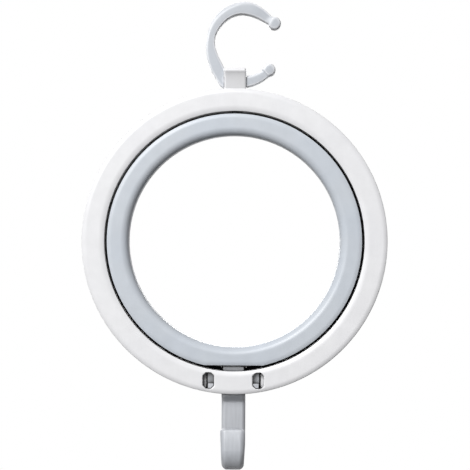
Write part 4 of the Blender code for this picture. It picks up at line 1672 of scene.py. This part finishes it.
@dataclass
class RodClip:
    """The C-shaped clip with a ball on each arm, and the journal that turns in the knuckle."""

    hinge: Vector
    rod_rise: float = 0.0205
    rod_side: float = 0.0028
    rod_space: float = 0.0134
    depth: float = 0.0056
    ball_radius: float = 0.0033
    ball_place_share: float = 1.43
    ball_angle: float = 28.7
    bend: float = 0.0191
    sweep: float = 47.0
    root: float = 0.0060
    neck: float = 0.0046
    start: float = 0.003025
    journal_radius: float = 0.0026
    journal_drop: float = 0.0038
    shoulder: float = 0.0058
    knuckle_height: float = 0.0105
    fullness: float = 0.30
    outer_softness: float = 0.50
    soft_angle: float = 120.0
    soft_spread: float = 45.0
    upper_fullness: float = 0.55
    upper_span: Pair = (256.0, 40.0)
    upper_steps: int = 150
    upper_neck: float = 0.00195
    upper_ease: int = 7
    lower_share: float = 0.845
    lower_steps: int = 60
    lower_thinning: float = 5.0
    lower_neck: float = 0.00235
    lower_ease: int = 6
    ease_passes: int = 4
    ball_flat: float = 0.9
    ball_fullness: float = 0.5
    ball_end: float = 89.0
    ball_steps: int = 30
    clearing: float = 0.002
    clearing_depth: float = 0.0104
    journal_embed: float = 0.0005
    section_points: int = 48
    edge_bends: Pair = (90.0, 420.0)
    arm_table: tuple[tuple[float, float, float, float], ...] = (
        (31, 1.24, 1.50, 0.76), (37, 1.17, 1.487, 0.82), (52, 1.08, 1.483, 0.92), (70, 1.03, 1.515, 1.00),
        (88, 1.019, 1.510, 1.00), (103, 1.00, 1.457, 1.00), (121, 0.97, 1.408, 0.98), (143, 0.955, 1.353, 0.95),
        (161, 0.975, 1.308, 0.92), (178, 0.99, 1.307, 0.92), (190, 0.992, 1.340, 0.94),
        (211, 1.015, 1.460, 0.97), (236, 1.17, 1.700, 1.00), (250, 1.40, 1.880, 1.00), (256, 1.50, 1.820, 1.00))

    def ball_rows(self, centre: np.ndarray, along: np.ndarray, across: np.ndarray, neck: float) -> np.ndarray:
        """Rows of a ball end, a round pad with soft edges.

        The section at s from its middle is sqrt(R^2 - s^2) wide to each side and f R (1 - (s / R)^4)^(1/4)
        deep to each side.

        Args:
            centre: Middle of the ball, in x and z.
            along: Direction that the arm runs in.
            across: Direction of the section's half width.
            neck: Half width at which the ball leaves the arm.

        Returns:
            Rows of (x, z, half width x, half width z, half depth, two fullnesses).
        """
        first = -math.acos(min(neck / self.ball_radius, 1.0))
        turn = np.linspace(first, math.radians(self.ball_end), self.ball_steps)[:, None]
        place = centre + along * self.ball_radius * np.sin(turn)
        half = self.ball_radius * np.cos(turn)
        deep = self.ball_flat * self.ball_radius * (1 - np.sin(turn) ** 4) ** 0.25
        return np.hstack((place, across * half, deep, np.full((len(half), 2), self.ball_fullness)))

    def arm_skin(self, rows: np.ndarray) -> Body:
        """Skins an arm with soft oblongs.

        Args:
            rows: (x, z, half width x, half width z, half depth, two fullnesses) of each section.

        Returns:
            The skin.
        """
        one = np.ones(len(rows))
        section = oval_sections(one, rows[:, 4], rows[:, 5:], self.section_points)
        rings = np.stack((rows[:, 0][:, None] + rows[:, 2][:, None] * section[..., 0], section[..., 1],
                          rows[:, 1][:, None] + rows[:, 3][:, None] * section[..., 0]), axis=-1)
        return skin(rings, wrap=False)

    def ended(self, arm: np.ndarray, ball: np.ndarray, neck: float, reach: int) -> Body:
        """Puts the ball on an arm, eases the joint between them and skins both.

        Args:
            arm: The arm's rows.
            ball: Middle of the ball, in x and z.
            neck: Half width at which the ball leaves the arm.
            reach: Rows that are eased on each side of the joint.

        Returns:
            The skin.
        """
        along = ball - arm[-1, :2]
        along /= np.linalg.norm(along)
        rows = self.ball_rows(ball, along, np.array((-along[1], along[0])), neck)
        return self.arm_skin(eased(np.vstack((arm, rows)), len(arm), reach, self.ease_passes))

    def upper_arm(self) -> Body:
        """The C from beside the knuckle round to its ball, as sections on rays from the rod's centre.

        The outer side's fullness grows by a bell curve, exp(-((t - c) / w)^2) of the angle t, round the
        upper left, where the real one is broadly rounded.

        Returns:
            The skin.
        """
        angles = np.linspace(*self.upper_span, self.upper_steps)
        inner, outer, depth = smooth_between(np.array(self.arm_table), angles).T
        ray = np.column_stack((np.cos(np.radians(angles)), np.sin(np.radians(angles))))
        rod = np.array((self.rod_side, self.rod_rise))
        middle = rod + ray * ((inner + outer) / 2 * self.rod_space)[:, None]
        half = ray * ((outer - inner) / 2 * self.rod_space)[:, None]
        soft = self.fullness + self.outer_softness * np.exp(-((angles - self.soft_angle) / self.soft_spread) ** 2)
        arm = np.hstack((middle, half, columned(depth * self.depth / 2, self.fullness, soft)))
        turn = math.radians(self.ball_angle)
        ball = rod + self.ball_place_share * self.rod_space * np.array((math.cos(turn), math.sin(turn)))
        return self.ended(arm, ball, self.upper_neck, self.upper_ease)

    def lower_arm(self) -> Body:
        """The short arm on the right that curls up to the lower ball along a circle's arc.

        At a share s of the sweep the arm is (start + R sin t, R (1 - cos t)), with t the angle there.

        Returns:
            The skin.
        """
        share = np.linspace(0, self.lower_share, self.lower_steps)
        turn = np.radians(self.sweep) * share
        middle = np.column_stack((self.start + self.bend * np.sin(turn), self.bend * (1 - np.cos(turn))))
        across = np.column_stack((-np.sin(turn), np.cos(turn)))
        half = (self.root + (self.neck - self.root) * share) / 2
        depth = self.depth / 2 * (1 - share / self.lower_thinning)
        arm = np.hstack((middle, across * half[:, None], columned(depth, self.fullness, self.upper_fullness)))
        turn = math.radians(self.sweep)
        ball = np.array((self.start + self.bend * math.sin(turn), self.bend * (1 - math.cos(turn))))
        return self.ended(arm, ball, self.lower_neck, self.lower_ease)

    def build(self, name: str) -> Piece:
        """Cuts both arms clear of the knuckle and joins them with the journal.

        Args:
            name: The piece's name.

        Returns:
            The piece.
        """
        low, high = -self.journal_drop - self.clearing, self.knuckle_height - self.journal_drop + self.clearing
        space = plate(oblong(self.clearing_depth, low, high), -self.shoulder, self.shoulder, "x")
        reach = self.shoulder + self.journal_embed
        journal = plate(circle(self.journal_radius, self.section_points), -reach, reach, "x")
        return Piece(name, [self.upper_arm(), self.lower_arm()], self.hinge).cut(space).join(journal)


# The room


@dataclass(frozen=True)
class Lamp:
    """A soft square light; at a power of level pi^2 d^2 it adds level times the colour of what faces it."""

    name: str
    toward: Triple
    level: float
    distance: float
    size: float

    def hang(self, centre: Vector) -> None:
        """Puts the light at its distance from a centre and turns it there.

        Args:
            centre: What it lights.
        """
        data = bpy.data.lights.new(self.name, "AREA")
        data.shape, data.size = "SQUARE", self.size
        data.energy = self.level * math.pi ** 2 * self.distance ** 2
        made = placed(self.name, data)
        direction = Vector(self.toward).normalized()
        made.location = centre + direction * self.distance
        made.rotation_euler = direction.to_track_quat("Z", "Y").to_euler()
        made.visible_camera = False


@dataclass
class Studio:
    """Camera, lights, backdrop and floor, placed from the rings' centre.

    The floor is paper: its tooth and clouds are noise fields of (scale, detail), its bump is
    (strength, distance), and it fades into the backdrop between two distances.
    """

    centre: Vector
    distance: float = 0.6
    face_depth: float = 0.006
    frame_width: float = 0.235
    aim_side: float = 0.00041
    aim_rise: float = 0.00297
    stand_side: float = 0.012
    stand_rise: float = -0.008
    roll: float = 0.0061
    sensor_mm: float = 36.0
    lamps: tuple[Lamp, ...] = (Lamp("key", (-0.36, -0.80, 0.48), 1.24, 2.6, 1.5),
                               Lamp("back_fill", (-0.15, 0.93, 0.33), 0.45, 1.5, 0.9))
    surround_level: float = 0.12
    floor_drop: float = 0.24
    floor_middle: float = 0.02
    floor_radius: float = 0.9
    floor_rings: int = 24
    floor_facets: int = 96
    fade: Pair = (0.22, 0.55)
    tooth: Pair = (900.0, 3.0)
    tooth_bump: Pair = (0.3, 0.0001)
    clouds: Pair = (6.0, 2.0)
    cloud_band: Pair = (0.3, 0.7)
    paper_shades: Pair = (0.9, 0.93)
    paper_bounce: float = 0.06
    paper_roughness: float = 0.85
    paper_specular: float = 0.1

    def camera(self) -> None:
        """A camera in front, aimed at the rings' front face, where its frame spans the frame width."""
        data = bpy.data.cameras.new("camera")
        data.sensor_width = self.sensor_mm
        data.lens = data.sensor_width * self.distance / self.frame_width
        made = placed("camera", data)
        aim = Vector((self.aim_side, -self.face_depth, self.aim_rise))
        stand = Vector((self.stand_side, -self.distance - self.face_depth, self.stand_rise))
        made.location = self.centre + stand
        facing = (stand - aim).to_track_quat("Z", "Y")
        made.rotation_euler = (facing @ Quaternion((0, 0, 1), self.roll)).to_euler()
        bpy.context.scene.camera = made

    @staticmethod
    def seen_directly(sheet: NodeSheet) -> bpy.types.NodeSocket:
        """1 for camera, glossy and transmission rays, which see the backdrop as plain white.

        Args:
            sheet: The tree that asks.

        Returns:
            The socket.
        """
        path = sheet.add("ShaderNodeLightPath").outputs
        seen = sheet.plus(path["Is Camera Ray"], path["Is Glossy Ray"])
        return sheet.plus(seen, path["Is Transmission Ray"], clamp=True)

    def backdrop(self) -> None:
        """A white world for what looks at it, and an even pale light for what it lights."""
        world = bpy.data.worlds.new("backdrop")
        world.use_nodes = True
        bpy.context.scene.world = world
        sheet = NodeSheet(world.node_tree)
        world.node_tree.nodes.clear()
        lit = sheet.add("ShaderNodeBackground", Color=PLAIN_WHITE, Strength=self.surround_level)
        seen = sheet.add("ShaderNodeBackground", Color=PLAIN_WHITE, Strength=1.0)
        mixed = sheet.add("ShaderNodeMixShader", i0=self.seen_directly(sheet), i1=lit.outputs[0], i2=seen.outputs[0])
        sheet.add("ShaderNodeOutputWorld", Surface=mixed.outputs[0])

    def floor(self) -> None:
        """A pale disc far below, r (cos t, sin t), that keeps the shadow and fades into the backdrop."""
        radii = np.linspace(self.floor_middle, self.floor_radius, self.floor_rings)
        rim = circle(1.0, self.floor_facets)
        place = np.array(self.centre) + (0, 0, -self.floor_drop)
        rings = np.insert(radii[:, None, None] * rim[None], 2, 0.0, axis=2) + place
        faces = skin(rings, wrap=False).faces[:-1]
        mesh = bpy.data.meshes.new("floor")
        mesh.from_pydata(rings.reshape(-1, 3), [], faces)
        mesh.shade_smooth()
        made = placed("floor", mesh)
        mesh.materials.append(self.floor_material())

    def floor_material(self) -> bpy.types.Material:
        """Pale matt paper whose far part is plain white to what looks at it, and that lights little.

        Returns:
            The material.
        """
        made, sheet, shader = new_material("floor_paper")
        place = sheet.place()
        tooth = sheet.noise(place, *self.tooth)
        shade = sheet.spread(sheet.noise(place, *self.clouds), self.cloud_band, self.paper_shades)
        seen = self.seen_directly(sheet)
        pale = sheet.add("ShaderNodeCombineColor", i0=shade, i1=shade, i2=shade).outputs[0]
        strength, reach = self.tooth_bump
        bump = sheet.add("ShaderNodeBump", Strength=strength, Distance=reach, Height=tooth)
        sheet.fill(shader, Base_Color=sheet.blend(seen, (*[self.paper_bounce] * 3, 1), pale),
                   Normal=bump.outputs[0], Roughness=self.paper_roughness, Specular_IOR_Level=self.paper_specular)
        flat = sheet.add("ShaderNodeVectorMath", {"operation": "MULTIPLY"}, i0=place, i1=(1, 1, 0)).outputs[0]
        apart = sheet.add("ShaderNodeVectorMath", {"operation": "LENGTH"}, i0=flat).outputs["Value"]
        far = sheet.times(sheet.spread(apart, self.fade), seen)
        glow = sheet.add("ShaderNodeEmission", Color=PLAIN_WHITE, Strength=1.0)
        mixed = sheet.add("ShaderNodeMixShader", i0=far, i1=shader.outputs[0], i2=glow.outputs[0])
        sheet.fill(made.node_tree.nodes["Material Output"], Surface=mixed.outputs[0])
        return made

    def build(self) -> None:
        """Sets up the whole room."""
        self.camera()
        for lamp in self.lamps:
            lamp.hang(self.centre)
        self.backdrop()
        self.floor()
        bpy.context.scene.view_settings.view_transform = "Standard"


def joint_place(name: str) -> Vector:
    """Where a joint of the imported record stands."""
    return Vector(next(joint["pos_m"] for joint in frame["joints"] if joint["name"] == name))


def main() -> None:
    """Builds every sub-assembly in order, dresses it and hangs it on its body."""
    logging.basicConfig(level=logging.INFO, format="%(name)s: %(message)s")
    centre, hinge = joint_place("ring_swivel"), joint_place("clip_hinge")
    sizes, effects = RingSizes(), SurfaceEffects()
    white, grey, pin_grey, hook_grey, clip_grey = (
        finish.material(effects)
        for finish in (WHITE_PLASTIC, GREY_PLASTIC, PIN_PLASTIC, HOOK_PLASTIC, CLIP_PLASTIC))

    outer, inner = OuterRing(sizes, centre, hinge=hinge), InnerRing(sizes, centre)
    for side in Side:
        word = side.name.lower()
        # the knuckle's front face takes the darker painted-shade panel, the rear ribs the softer painted shade
        finish, box = KNUCKLE_SHADE_PLASTIC, outer.face_box()
        if side is Side.REAR:
            finish, box = POCKET_PLASTIC, outer.pocket_box()
        shell = outer.half(f"outer_shell_{word}", side).dress(white).mark_shaded_gap(0.0, sizes.bore + sizes.embed)
        shell.panel(finish.material(effects), *box).hang(f"outer_ring_{word}", "outer_ring", Slot.WHITE)
        shell = inner.half(f"inner_shell_{word}", side).dress(grey)
        shell.mark_shaded_gap(sizes.inner_reach - sizes.seam_gap, sizes.bore)
        shell.hang(f"inner_ring_{word}", "inner_ring", Slot.GREY)
    pins = PivotPins(sizes, centre)
    for name, node, wall_face, seat, up in (
            ("pin_top", "top_pivot_pin", sizes.inner_reach, sizes.bore, 1),
            ("pin_foot", "bottom_pivot_pin", sizes.flat_drop, sizes.head_top, -1)):
        pin = pins.pin(name, wall_face, seat + sizes.bearing_length, up)
        pin.dress(pin_grey).hang(node, "inner_ring", Slot.GREY)
    JHook(sizes, centre, outer).build("j_hook").dress(hook_grey).hang("hook", "outer_ring", Slot.GREY)
    clip = RodClip(hinge)
    clip.build("clip").dress(clip_grey, clip.edge_bends).hang("rod_clip", "clip", Slot.CLIP)
    Studio(centre).build()


if __name__ == "__main__":
    main()
